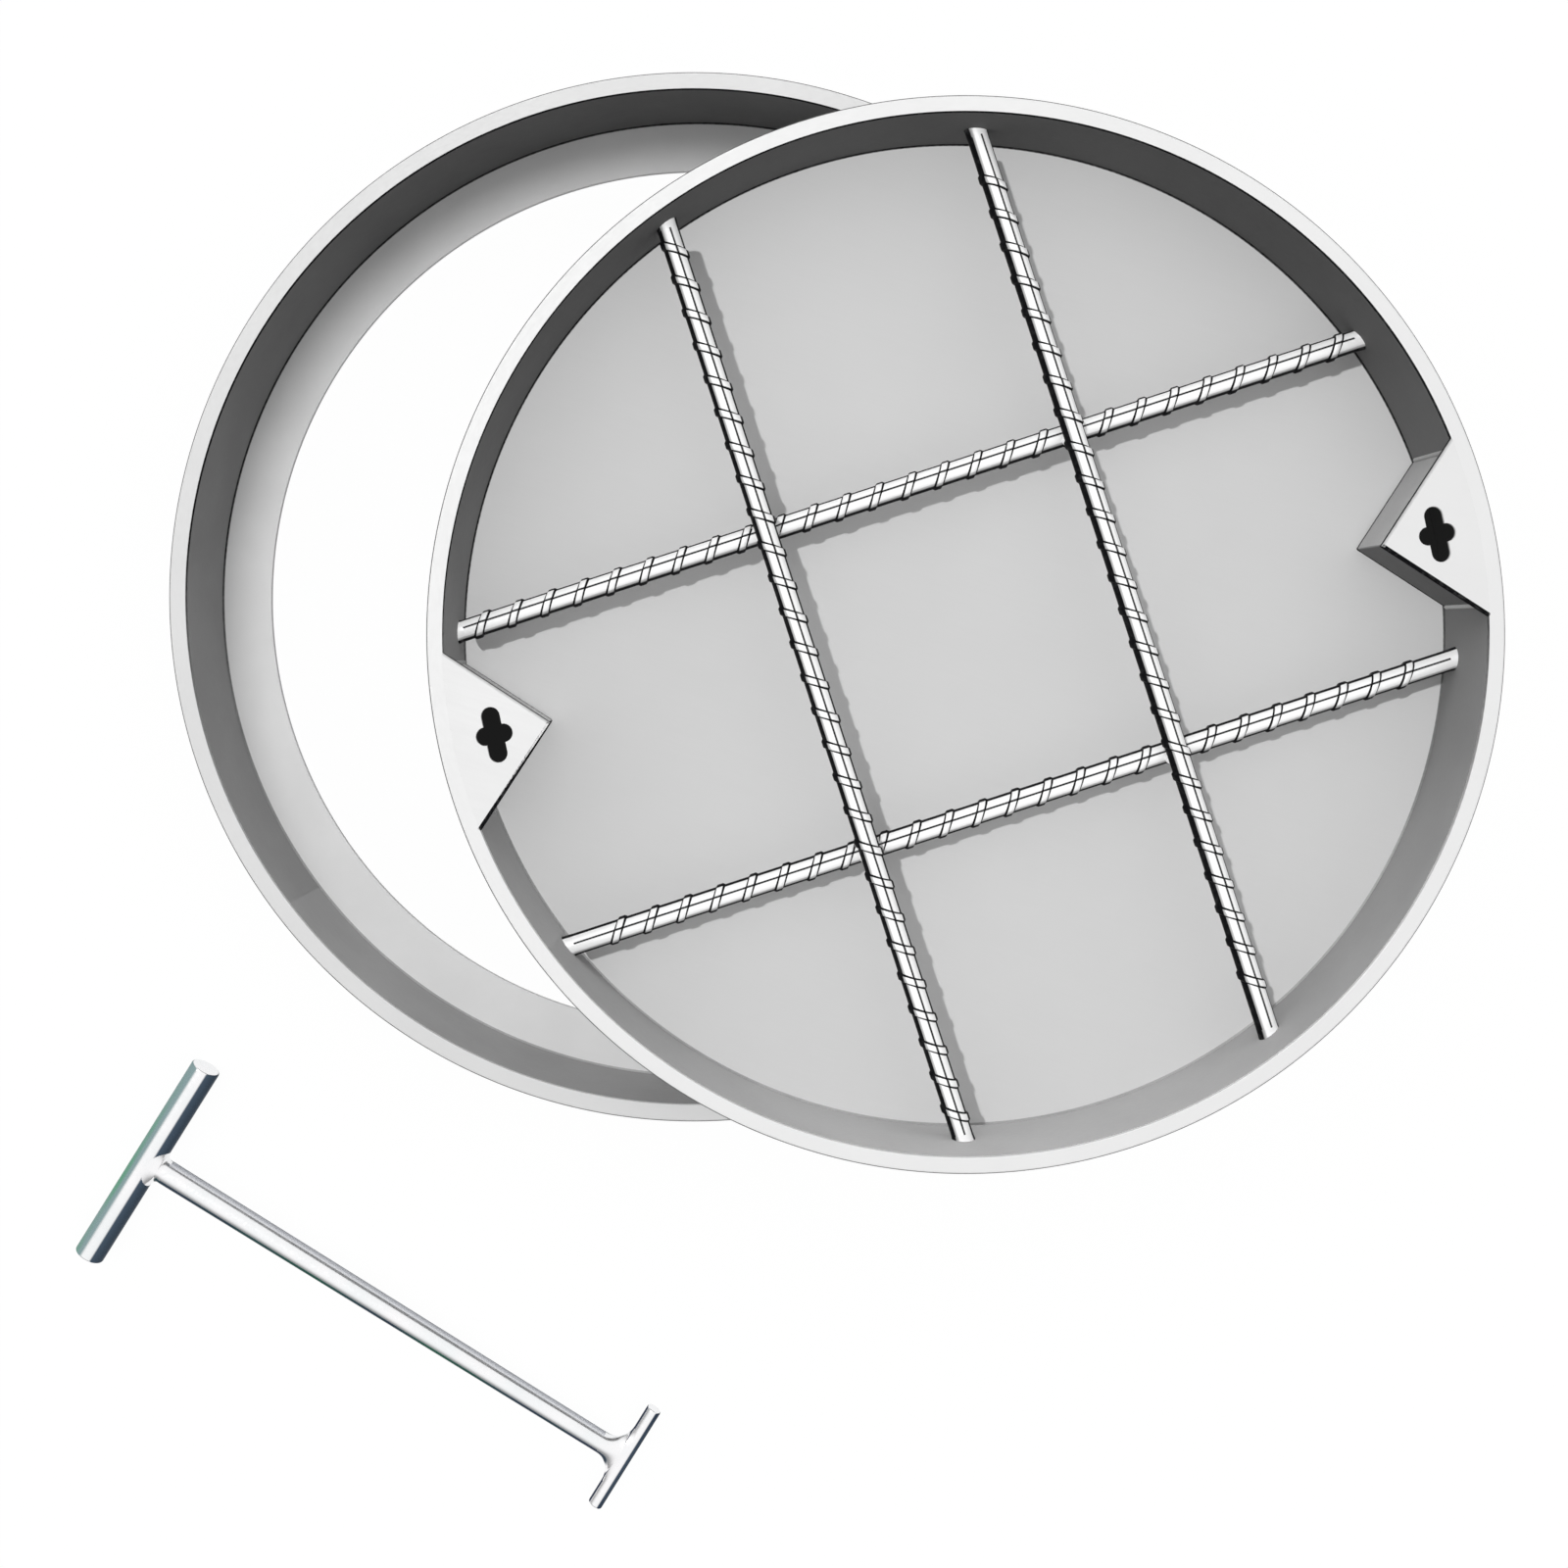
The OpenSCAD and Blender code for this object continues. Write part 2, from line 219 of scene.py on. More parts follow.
# %% Group: round_grain
def round_grain_group():
    inputs = {"Axis": (0, 0, 0), "Fineness": 900.0, "Stretch": 60.0}
    tree, given, out = new_group("round_grain", inputs, "Grain")
    x, y, z = node(tree, "ShaderNodeSeparateXYZ", {0: place_from(tree, given.outputs["Axis"])}).outputs
    across = math_node(tree, "MULTIPLY", length_of(tree, x, y), given.outputs["Fineness"])
    upward = math_node(tree, "MULTIPLY", z, given.outputs["Fineness"])
    along = math_node(tree, "MULTIPLY", math_node(tree, "ARCTAN2", y, x), given.outputs["Stretch"])
    joined = node(tree, "ShaderNodeCombineXYZ", {"X": across, "Y": along, "Z": upward})
    tree.links.new(noise_at(tree, joined.outputs[0], 1.0, 3.0), out.inputs[0])
    return tree


# %% [markdown]
# ### Grain of flat rolled sheet
#
# Sheet comes off the mill with faint streaks in one direction. The same idea as above, without the
# turning: noise that is stretched along one direction of the sheet.


# %% Group: sheet_grain
def sheet_grain_group():
    inputs = {"Turn": 0.3, "Fineness": 900.0, "Stretch": 30.0}
    tree, given, out = new_group("sheet_grain", inputs, "Grain")
    turned = turned_by(tree, object_place(tree), given.outputs["Turn"])
    fineness = given.outputs["Fineness"]
    scales = {"X": given.outputs["Stretch"], "Y": fineness, "Z": fineness}
    stretch = node(tree, "ShaderNodeCombineXYZ", scales).outputs[0]
    scaled = vector_node(tree, "MULTIPLY", turned, stretch).outputs[0]
    tree.links.new(noise_at(tree, scaled, 1.0, 3.0), out.inputs[0])
    return tree


# %% [markdown]
# ### Uneven tone
#
# No sheet of steel has one even tone. Handling, pickling and drying leave soft clouds a few
# centimetres wide. The group takes the two ends of the tone and puts out the colour between them.


# %% Group: cloudy_tone
def cloudy_tone_group():
    inputs = {
        "Light tone": (0.7, 0.7, 0.7, 1),
        "Dark tone": (0.6, 0.6, 0.6, 1),
        "Cloud size": 0.06,
        "Grain": 0.5,
        "Grain amount": 0.3,
    }
    tree, given, out = new_group("cloudy_tone", inputs, "Color", COLOUR)
    scale = math_node(tree, "DIVIDE", 1.0, given.outputs["Cloud size"])
    cloud = between(tree, noise_at(tree, object_place(tree), scale, 4.0), 0.3, 0.7)
    streak = math_node(tree, "SUBTRACT", given.outputs["Grain"], 0.5)
    streak = math_node(tree, "MULTIPLY_ADD", streak, given.outputs["Grain amount"], cloud)
    colour = blend_colours(tree, streak, given.outputs["Dark tone"], given.outputs["Light tone"])
    tree.links.new(colour, out.inputs[0])
    return tree


# %% [markdown]
# ### Painted shade that the shape itself carries
#
# Painted shade goes along the foot of a rib, in the corner beside a weld, low on a bar's flank and
# along some edges. A noise texture can't know where those places are, but the mesh code does. So
# each mesh stores a number from 0 to 1 at every point, named scale, and this group reads it and
# breaks it up a little, so that the lines aren't drawn with a ruler.


# %% Group: painted_shade
def painted_shade_group():
    tree, given, out = new_group("painted_shade", {"Break up": 0.25, "Size": 0.004}, "Mask")
    stored = node(tree, "ShaderNodeAttribute", attribute_name="scale").outputs["Fac"]
    size = math_node(tree, "DIVIDE", 1.0, given.outputs["Size"])
    loose = math_node(tree, "SUBTRACT", noise_at(tree, object_place(tree), size, 2.0), 0.5)
    loose = math_node(tree, "MULTIPLY", loose, given.outputs["Break up"])
    both = math_node(tree, "ADD", stored, loose)
    some = math_node(tree, "MULTIPLY", both, math_node(tree, "GREATER_THAN", stored, 0.001))
    tree.links.new(node(tree, "ShaderNodeClamp", {"Value": some}).outputs[0], out.inputs[0])
    return tree


# %% [markdown]
# ### Painted reflection by the way a surface faces
#
# Round zinc mirrors its surroundings, and this group paints such reflections in: the flanks get
# another tint than the crown. The tint depends on the direction of the surface on the object, never
# on the camera: the group compares the object's own normal with a direction.


# %% Group: painted_flank_reflection
def painted_flank_reflection_group():
    inputs = {"Direction": (1, 0, 0), "Starts": 0.3, "Full": 0.7}
    tree, given, out = new_group("painted_flank_reflection", inputs, "Mask")
    facing = node(tree, "ShaderNodeTexCoord").outputs["Normal"]
    agrees = vector_node(tree, "DOT_PRODUCT", facing, given.outputs["Direction"]).outputs["Value"]
    mask = between(tree, agrees, given.outputs["Starts"], given.outputs["Full"])
    tree.links.new(mask, out.inputs[0])
    return tree


# %% [markdown]
# ### Painted shade inside the key pockets
#
# The inside of both pockets gets painted shade, black. Both pockets are the same V, one on each side
# of the tray. So the mask turns the position into the pockets' own direction and takes absolute
# values: along minus across is then the distance past the V's point, and one rule serves both
# sides. Two more limits keep the painted shade inside the tray: it stops at the wall's inner face
# and at the floor's top.


# %% Group: painted_pocket_shade
POCKET_SHADE_FADE = 1.5 * MM


def painted_pocket_shade_group():
    inputs = {"Axis": (0, 0, 0), "Turn": 0.2, "Point": 0.27, "Wall": 0.33, "Floor": 0.08}
    tree, given, out = new_group("painted_pocket_shade", inputs, "Mask")
    back = math_node(tree, "MULTIPLY", given.outputs["Turn"], -1.0)
    turned = turned_by(tree, place_from(tree, given.outputs["Axis"]), back)
    x, y, z = node(tree, "ShaderNodeSeparateXYZ", {0: turned}).outputs
    along, across = math_node(tree, "ABSOLUTE", x), math_node(tree, "ABSOLUTE", y)
    past = math_node(tree, "SUBTRACT", math_node(tree, "SUBTRACT", along, across), given.outputs["Point"])
    inside = math_node(tree, "LESS_THAN", length_of(tree, along, across), given.outputs["Wall"])
    above = math_node(tree, "GREATER_THAN", z, given.outputs["Floor"])
    mask = math_node(tree, "MULTIPLY", between(tree, past, 0.0, POCKET_SHADE_FADE), inside)
    tree.links.new(math_node(tree, "MULTIPLY", mask, above), out.inputs[0])
    return tree


round_grain = round_grain_group()
sheet_grain = sheet_grain_group()
cloudy_tone = cloudy_tone_group()
painted_shade = painted_shade_group()
painted_flank_reflection = painted_flank_reflection_group()
painted_pocket_shade = painted_pocket_shade_group()

# %% [markdown]
# ## Steel finishes
#
# All the steel here is one metal in different states. The sheet is satin, so most of its light comes
# back spread out: a low Metallic value and a high Roughness give that even grey. The walls have a much
# darker colour than the rest, as painted shade, and strong low lamps of their own shape them. The bars
# are nearly white, with painted shade along the ribs and low on one flank.


# %% Material helpers
GRAIN_LOW, GRAIN_HIGH = 0.3, 0.7
GRAIN_HEIGHT = 0.2 * MM
PAINTED_MASK_SHINE = 0.02
# Black of the painted shade that each mesh carries in its scale attribute.
PAINTED_SHADE_BLACK = (0.006, 0.006, 0.007, 1)
# Black of the painted shade inside the key pockets.
POCKET_SHADE_BLACK = (0.025, 0.025, 0.025, 1)


def grey(value):
    return (value, value, value, 1)


def start_material(name, metallic, roughness, shine):
    material = bpy.data.materials.new(name)
    material.use_nodes = True
    shader = material.node_tree.nodes["Principled BSDF"]
    shader.inputs["Metallic"].default_value = metallic
    shader.inputs["Roughness"].default_value = roughness
    shader.inputs["Specular IOR Level"].default_value = shine
    return material


def finish_material(material, colour, grain, painted_light_mask, rough, bump):
    """The grain moves the polish between the two ends of rough. Where the painted light mask is full, the
    surface is dull, and no mirror.
    """
    tree = material.node_tree
    shader = tree.nodes["Principled BSDF"]
    metallic = shader.inputs["Metallic"].default_value
    shine = shader.inputs["Specular IOR Level"].default_value
    relief = {"Height": grain, "Strength": bump, "Distance": GRAIN_HEIGHT}
    looks = {
        "Base Color": colour,
        "Roughness": between(tree, grain, GRAIN_LOW, GRAIN_HIGH, *rough),
        "Metallic": between(tree, painted_light_mask, 0.0, 1.0, metallic, 0.0),
        "Specular IOR Level": between(tree, painted_light_mask, 0.0, 1.0, shine, PAINTED_MASK_SHINE),
        "Normal": node(tree, "ShaderNodeBump", relief).outputs["Normal"],
    }
    for name, value in looks.items():
        tree.links.new(value, shader.inputs[name])
    return material


# %% Where the pockets are
POCKET_TURN = math.radians(12)
POCKET_DEPTH = 61.5 * MM
POCKET_HALF = math.radians(45)
PLATE_LIP = 6 * MM
POCKET_SHADE_MARGIN = 0.5 * MM
point_r = tray_r - POCKET_DEPTH
sheet_point_r = point_r + PLATE_LIP / math.sin(POCKET_HALF)


def paint_pocket_shade(tree, colour):
    """Paints shade, black, on what lies inside the key pockets. Gives the new colour and the mask."""
    place = {
        "Axis": tray_axis,
        "Turn": POCKET_TURN,
        "Point": sheet_point_r + SHEET / 2,
        "Wall": tray_r + POCKET_SHADE_MARGIN,
        "Floor": tray_floor - POCKET_SHADE_MARGIN,
    }
    pocket_shade = use_group(tree, painted_pocket_shade, place)
    return blend_colours(tree, pocket_shade, colour, POCKET_SHADE_BLACK), pocket_shade


# %% Steel materials
def steel(name, light, dark, metallic, rough, axis=None, shine=0.4, bump=0.1, loose=0.2, tray=False):
    material = start_material(name, metallic, sum(rough) / 2, shine)
    tree = material.node_tree
    grain = use_group(tree, round_grain, {"Axis": axis}) if axis else use_group(tree, sheet_grain)
    tones = {"Light tone": grey(light), "Dark tone": grey(dark), "Grain": grain, "Grain amount": 0.3}
    # The painted shade that the mesh carries darkens the colour and makes the steel dull there.
    painted_light_mask = use_group(tree, painted_shade, {"Break up": loose})
    colour = blend_colours(tree, painted_light_mask, use_group(tree, cloudy_tone, tones), PAINTED_SHADE_BLACK)
    # Pieces in the tray also get the painted shade inside the pockets.
    if tray:
        colour, pocket_shade = paint_pocket_shade(tree, colour)
        painted_light_mask = math_node(tree, "MAXIMUM", painted_light_mask, pocket_shade)
    return finish_material(material, colour, grain, painted_light_mask, rough, bump)


SATIN = (0.6, 0.7)
MATT = (0.7, 0.8)
frame_rim_steel = steel("frame_rim_steel", 0.74, 0.72, 0.2, SATIN, frame_axis)
cover_rim_steel = steel("cover_rim_steel", 0.88, 0.86, 0.2, SATIN, tray_axis)
plate_steel = steel("plate_steel", 0.86, 0.84, 0.2, SATIN)
# The dark colour of the walls and pocket sheets is painted shade; lamps of their own light them.
frame_wall_steel = steel("frame_wall_steel", 0.155, 0.14, 0.05, MATT, frame_axis, shine=0.1)
tray_wall_steel = steel("tray_wall_steel", 0.12, 0.11, 0.05, MATT, tray_axis, shine=0.1, tray=True)
pocket_steel = steel("pocket_steel", 0.165, 0.15, 0.05, MATT, shine=0.1, tray=True)
ledge_steel = steel("ledge_steel", 0.83, 0.79, 0.1, MATT, frame_axis, shine=0.3)
bar_steel = steel("bar_steel", 0.96, 0.94, 0.1, (0.3, 0.4), bump=0.02, loose=0.05)
frame_bead_steel = steel("frame_bead_steel", 0.5, 0.4, 0.2, MATT, frame_axis, shine=0.2)
tray_bead_steel = steel("tray_bead_steel", 0.5, 0.4, 0.2, MATT, tray_axis, shine=0.2, tray=True)
bar_bead_steel = steel("bar_bead_steel", 0.95, 0.90, 0.1, (0.3, 0.45), bump=0.04)

# %% [markdown]
# ## The tray floor
#
# The floor is the largest face, so it carries the object's colour: an even light grey sheet. Inside
# the key pockets it gets painted shade, black, which is why the keyholes look black from above.


# %% Tray floor material
def tray_floor_steel():
    material = start_material("tray_floor_steel", metallic=0.1, roughness=0.8, shine=0.3)
    tree = material.node_tree
    grain = use_group(tree, sheet_grain, {"Turn": 0.31, "Stretch": 20.0})
    tones = {"Light tone": grey(0.72), "Dark tone": grey(0.705), "Cloud size": 0.12}
    tone = use_group(tree, cloudy_tone, {**tones, "Grain": grain, "Grain amount": 0.35})
    colour, pocket_shade = paint_pocket_shade(tree, tone)
    return finish_material(material, colour, grain, pocket_shade, rough=(0.75, 0.85), bump=0.1)


floor_steel = tray_floor_steel()

# %% [markdown]
# ## Zinc for the lifting key
#
# The key is bright zinc plate. It mirrors its surroundings, so its crown is white, and its flanks
# get painted reflections: green and grey on one side, slate blue on the other.


# %% Zinc material
ZINC_LIGHT = (0.97, 0.96, 0.97, 1)
ZINC_DARK = (0.90, 0.92, 0.93, 1)
REFLECTED_GREEN = (0.13, 0.36, 0.23, 1)
REFLECTED_GREY = (0.26, 0.36, 0.37, 1)
REFLECTED_PEARL = (0.84, 0.86, 0.92, 1)
REFLECTED_SLATE = (0.075, 0.11, 0.155, 1)
REFLECTED_NAVY = (0.02, 0.035, 0.07, 1)
REFLECTED_DARK_GREEN = (0.01, 0.10, 0.06, 1)


def zinc(name, reflections):
    """Each entry is a painted reflection: (direction, where it starts, where it is full, two tints). A
    later one lies on top.
    """
    material = start_material(name, metallic=0.9, roughness=0.18, shine=0.5)
    tree = material.node_tree
    grain = use_group(tree, sheet_grain, {"Fineness": 500.0, "Stretch": 500.0})
    tones = {"Light tone": ZINC_LIGHT, "Dark tone": ZINC_DARK, "Cloud size": 0.03}
    colour = use_group(tree, cloudy_tone, {**tones, "Grain": grain, "Grain amount": 0.2})
    covered = 0.0
    for direction, starts, full, first, second in reflections:
        mask = use_group(tree, painted_flank_reflection, {"Direction": direction, "Starts": starts, "Full": full})
        tones = {"Light tone": first, "Dark tone": second, "Cloud size": 0.08}
        colour = blend_colours(tree, mask, colour, use_group(tree, cloudy_tone, tones))
        covered = math_node(tree, "MAXIMUM", covered, mask)
    return finish_material(material, colour, grain, covered, rough=(0.14, 0.24), bump=0.02)


# %% [markdown]
# ## Grids of points
#
# Nearly every piece here is a grid: rows of points, each row going round something. One helper makes
# the faces of all of them. A ring's rows also meet each other again at the end, and a bar's rows are
# closed with a flat face at each end.


# %% Mesh helpers
SHARP_FROM = math.radians(40)


def quads(rows, around, base=0, wrap_rows=False, wrap_around=True):
    """Faces over rows of points that are numbered one after another, from base on."""
    faces = []
    for row in range(rows if wrap_rows else rows - 1):
        here, there = base + row * around, base + (row + 1) % rows * around
        for i in range(around if wrap_around else around - 1):
            j = (i + 1) % around
            faces.append((here + i, here + j, there + j, there + i))
    return faces


def closed_tube(rows, around, base=0):
    last = base + (rows - 1) * around
    ends = [tuple(range(first, first + around)) for first in (base, last)]
    return quads(rows, around, base) + ends


def add_mesh(name, points, faces, dark=None):
    mesh = bpy.data.meshes.new(name)
    mesh.from_pydata([tuple(p) for p in points], [], faces)
    work = bmesh.new()
    work.from_mesh(mesh)
    bmesh.ops.recalc_face_normals(work, faces=work.faces)
    work.to_mesh(mesh)
    work.free()
    mesh.polygons.foreach_set("use_smooth", [True] * len(mesh.polygons))
    mesh.set_sharp_from_angle(angle=SHARP_FROM)
    # Each point's painted shade, from 0 to 1, is stored as the attribute named scale.
    stored = mesh.attributes.new("scale", "FLOAT", "POINT")
    stored.data.foreach_set("value", dark if dark else [0.0] * len(points))
    made = bpy.data.objects.new(name, mesh)
    bpy.context.collection.objects.link(made)
    return made


dressed = {"frame": [], "cover": [], "key": []}


def dress(piece, body, replaced, material):
    dressed[body].append(piece)
    piece.data.materials.append(material)
    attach(piece, body)
    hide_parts(*replaced)
    return piece


# %% [markdown]
# ## Turning a profile round an axis
#
# A ring is a small outline spun round an axis. We round every corner of the outline first, because
# no real edge is perfectly sharp and only a rounded edge catches the light. Each arc gets a support
# point just before and after it. That keeps the flat faces flat when the shading is smooth.


# %% Spun outlines
ARC_STEPS = 5
RING_STEPS = 360
SUPPORT = 0.25 * MM


def rounded_outline(corners):
    """corners: (x, y, radius) in order. Gives the points of the outline with its corners rounded."""
    points = []
    for i, (x, y, radius) in enumerate(corners):
        here = Vector((x, y))
        to_before = (Vector(corners[i - 1][:2]) - here).normalized()
        to_after = (Vector(corners[(i + 1) % len(corners)][:2]) - here).normalized()
        half = to_before.angle(to_after) / 2
        cut = radius / math.tan(half)
        start, stop = here + to_before * cut, here + to_after * cut
        centre = here + (to_before + to_after).normalized() * (radius / math.sin(half))
        points.append(start + to_before * SUPPORT)
        sweep_from = math.atan2(start[1] - centre[1], start[0] - centre[0])
        sweep_to = math.atan2(stop[1] - centre[1], stop[0] - centre[0])
        sweep = (sweep_to - sweep_from + math.pi) % (2 * math.pi) - math.pi
        for step in range(ARC_STEPS + 1):
            turn = sweep_from + sweep * step / ARC_STEPS
            points.append(centre + Vector((math.cos(turn), math.sin(turn))) * radius)
        points.append(stop + to_after * SUPPORT)
    return [(p[0], p[1]) for p in points]


def spun(outline, axis, steps, dark_at=None, shape=None):
    """outline: (radius, height) points. shape can move a point by (outline index, turn)."""
    points, dark = [], []
    for step in range(steps):
        turn = 2 * math.pi * step / steps
        for i, (radius, height) in enumerate(outline):
            if shape:
                radius, height = shape(i, turn, radius, height)
            points.append((axis[0] + radius * math.cos(turn), axis[1] + radius * math.sin(turn), height))
            dark.append(dark_at(radius, height, turn) if dark_at else 0.0)
    return points, dark


def ring_mesh(name, outline, axis, steps=RING_STEPS, dark_at=None, shape=None):
    points, dark = spun(outline, axis, steps, dark_at, shape)
    return add_mesh(name, points, quads(steps, len(outline), wrap_rows=True), dark)


# %% [markdown]
# ## The frame
#
# The frame is a rolled wall on a flat ledge, with a sheet folded over its top. The fold's outer
# radius is the most telling size on it: too sharp and it looks cut from a block, too round and it
# looks like plastic. A thin line of painted shade runs on the fold's shoulder, and another on the
# rim's cut inner edge, full at the rear.


# %% Frame rings
FOLD_R = 1.4 * MM
CUT_R = 0.5 * MM
INSIDE_FOLD_R = 0.3 * MM
FRAME_SKIRT = 15 * MM
COVER_SKIRT = 12 * MM
SHOULDER_WIDE = 0.62 * MM
SHOULDER_BELOW = 0.1 * MM
SHOULDER_DARK = 0.85
FOLD_REACH, CUT_REACH = 1.05, 0.75
SHADE_GONE_BELOW, SHADE_FULL_ABOVE = -0.6, 0.1


def ramp(value, low, high):
    return min(1.0, max(0.0, (value - low) / (high - low)))


def rear_shade_share(turn):
    """1 at the rear and the sides of a ring, and 0 at its front: the share of painted shade round it."""
    return ramp(math.sin(turn), SHADE_GONE_BELOW, SHADE_FULL_ABOVE)


def sheet_ring(name, inner, outer, low, high, axis, edge=0.25 * MM):
    corners = [(inner, low, edge), (outer, low, edge), (outer, high, edge), (inner, high, edge)]
    return ring_mesh(name, rounded_outline(corners), axis)


def folded_rim(name, inner, outer, top, skirt, axis):
    corners = [
        (inner, top, CUT_R),
        (outer, top, FOLD_R),
        (outer, top - skirt, CUT_R),
        (outer - SHEET, top - skirt, CUT_R),
        (outer - SHEET, top - SHEET, INSIDE_FOLD_R),
        (inner, top - SHEET, CUT_R),
    ]

    # Painted shade: a line on the fold's shoulder, and one on the cut inner edge, full at the rear.
    def painted_edge_shade(radius, height, turn):
        at_fold = top - FOLD_R * FOLD_REACH < height < top - SHOULDER_BELOW
        if radius < inner + CUT_R * CUT_REACH:
            return rear_shade_share(turn)
        return SHOULDER_DARK if at_fold and radius > outer - SHOULDER_WIDE else 0.0

    return ring_mesh(name, rounded_outline(corners), axis, dark_at=painted_edge_shade)


frame_wall = sheet_ring(
    "frame_wall_sheet", seat_r, frame_wall_r, ledge_top, top_of("frame_wall"), frame_axis
)
dress(frame_wall, "frame", ["frame_wall"], frame_wall_steel)

frame_ledge = sheet_ring(
    "frame_ledge_ring", clear_r, frame_wall_r, 0, ledge_top, frame_axis, edge=0.7 * MM
)
dress(frame_ledge, "frame", ["frame_ledge"], ledge_steel)

frame_rim = folded_rim("frame_rim", seat_r, frame_r, frame_top, FRAME_SKIRT, frame_axis)
dress(frame_rim, "frame", ["frame_top_edge"], frame_rim_steel)

# %% [markdown]
# ## Weld beads with ripples
#
# A weld pool freezes in small steps, and each step leaves a ripple. On the long foot welds we move
# the outline in and out a little as it goes round. On upright beads the same is done along the
# height. The ripples are real geometry, because light catches each of them.

# %% Foot and seam beads
FOOT_LEG = 1.2 * MM
FOOT_GAP = 0.05 * MM
RIPPLE = 0.12 * MM
FOOT_STEPS = 2880
FOOT_RIPPLES = 480
FOOT_DARK = 0.95
FOOT_NEAR, FOOT_FAR = 0.22, 0.62
FOOT_SHADE_SHARE = 0.8
SEAM_R = 2 * MM
SEAM_PITCH = 2.6 * MM
ROWS_PER_RIPPLE = 6
LEAST_ROWS = 8
BEAD_AROUND = 12
BEAD_SLIM = 0.92
BEAD_SWELL = 0.08
BEAD_END, BEAD_END_SLOPE = 0.45, 14


def foot_bead(name, wall_r, floor, axis):
    outline = [
        (wall_r - FOOT_GAP, floor + FOOT_GAP),
        (wall_r - FOOT_LEG, floor + FOOT_GAP),
        (wall_r - FOOT_LEG * FOOT_FAR, floor + FOOT_LEG * FOOT_NEAR),
        (wall_r - FOOT_LEG * FOOT_NEAR, floor + FOOT_LEG * FOOT_FAR),
        (wall_r - FOOT_GAP, floor + FOOT_LEG),
    ]

    def ripple(i, turn, radius, height):
        swing = RIPPLE * math.sin(turn * FOOT_RIPPLES) if i in (2, 3) else 0.0
        return radius - swing, height + swing

    # Painted shade in the corner where the wall meets the floor, on the bead's wall side, full at the rear.
    def painted_foot_shade(radius, height, turn):
        return FOOT_DARK * rear_shade_share(turn) if radius > wall_r - FOOT_LEG * FOOT_SHADE_SHARE else 0.0

    return ring_mesh(name, outline, axis, FOOT_STEPS, painted_foot_shade, ripple)


def upright_bead(name, spots, node_name, bead_r):
    """spots: (x, y, turn of the first point). One rippled bead for each, as high as the node."""
    low, high = bottom_of(node_name), top_of(node_name)
    rows = max(LEAST_ROWS, int((high - low) / SEAM_PITCH * ROWS_PER_RIPPLE))
    points, faces = [], []
    for x, y, direction in spots:
        faces += closed_tube(rows + 1, BEAD_AROUND, len(points))
        for row in range(rows + 1):
            part = row / rows
            end = min(1.0, min(part, 1 - part) * BEAD_END_SLOPE + BEAD_END)
            swell = 1 + BEAD_SWELL * math.sin(2 * math.pi * part * (high - low) / SEAM_PITCH)
            size = bead_r * BEAD_SLIM * swell * end
            height = low + part * (high - low)
            for step in range(BEAD_AROUND):
                turn = direction + 2 * math.pi * step / BEAD_AROUND
                points.append((x + size * math.cos(turn), y + size * math.sin(turn), height))
    return add_mesh(name, points, faces)


def seam_spot(node_name, wall_r, axis):
    middle = middle_of(node_name)
    turn = math.atan2(middle[1] - axis[1], middle[0] - axis[0])
    return (axis[0] + wall_r * math.cos(turn), axis[1] + wall_r * math.sin(turn), turn)


frame_facts = ("frame", frame_axis, frame_bead_steel)
cover_facts = ("cover", tray_axis, tray_bead_steel)
feet = [(*frame_facts, seat_r, ledge_top), (*cover_facts, tray_r, tray_floor)]
for body, axis, bead_steel, wall_r, floor in feet:
    foot = foot_bead(f"{body}_foot_bead", wall_r, floor, axis)
    dress(foot, body, [f"{body}_foot_weld"], bead_steel)

for body, axis, bead_steel, wall_r in [(*frame_facts, frame_wall_r), (*cover_facts, cover_wall_r)]:
    node_name = f"{body}_seam_weld"
    seam = upright_bead(f"{body}_seam_bead", [seam_spot(node_name, wall_r, axis)], node_name, SEAM_R)
    dress(seam, body, [node_name], bead_steel)

# %% [markdown]
# ## The tray
#
# The cover is a tray: a round plate with a rolled wall, and the same folded edge as the frame. The
# plate is a disc. Spinning its outline from the axis would pinch the faces together at the middle,
# so only its rim is spun, and one flat face on each side closes it.


# %% Tray rings and floor
def disc_mesh(name, radius, low, high, axis, edge=0.4 * MM):
    arc = []
    for step in range(ARC_STEPS + 1):
        turn = math.pi / 2 * step / ARC_STEPS
        arc.append((radius - edge + edge * math.cos(turn), high - edge + edge * math.sin(turn)))
    flat_r = radius - edge - SUPPORT
    side = [(flat_r, low)] + [(r, low + high - z) for r, z in reversed(arc)] + arc + [(flat_r, high)]
    points, _ = spun(side, axis, RING_STEPS)
    faces = quads(RING_STEPS, len(side), wrap_rows=True, wrap_around=False)
    for first in (0, len(side) - 1):
        faces.append(tuple(range(first, len(points), len(side))))
    return add_mesh(name, points, faces)


tray_plate = disc_mesh("tray_plate", cover_wall_r, cover_foot, tray_floor, tray_axis)
dress(tray_plate, "cover", ["cover_base_plate"], floor_steel)

tray_wall = sheet_ring("tray_wall_sheet", tray_r, cover_wall_r, tray_floor, top_of("cover_wall"), tray_axis)
dress(tray_wall, "cover", ["cover_wall"], tray_wall_steel)

cover_rim = folded_rim("cover_rim", tray_r, cover_r, cover_top, COVER_SKIRT, tray_axis)
dress(cover_rim, "cover", ["cover_top_edge"], cover_rim_steel)

# %% [markdown]
# ## Key pockets
#
# Two pockets keep paving away from the lifting points. Each is one folded sheet, with a plate on top
# that has a cross-shaped keyhole. The plate is an outline with a hole in it. We let Blender find the
# triangles between the two loops. Both edges get a small chamfer and lines of painted shade, by
# drawing the loops several times, each a little apart.

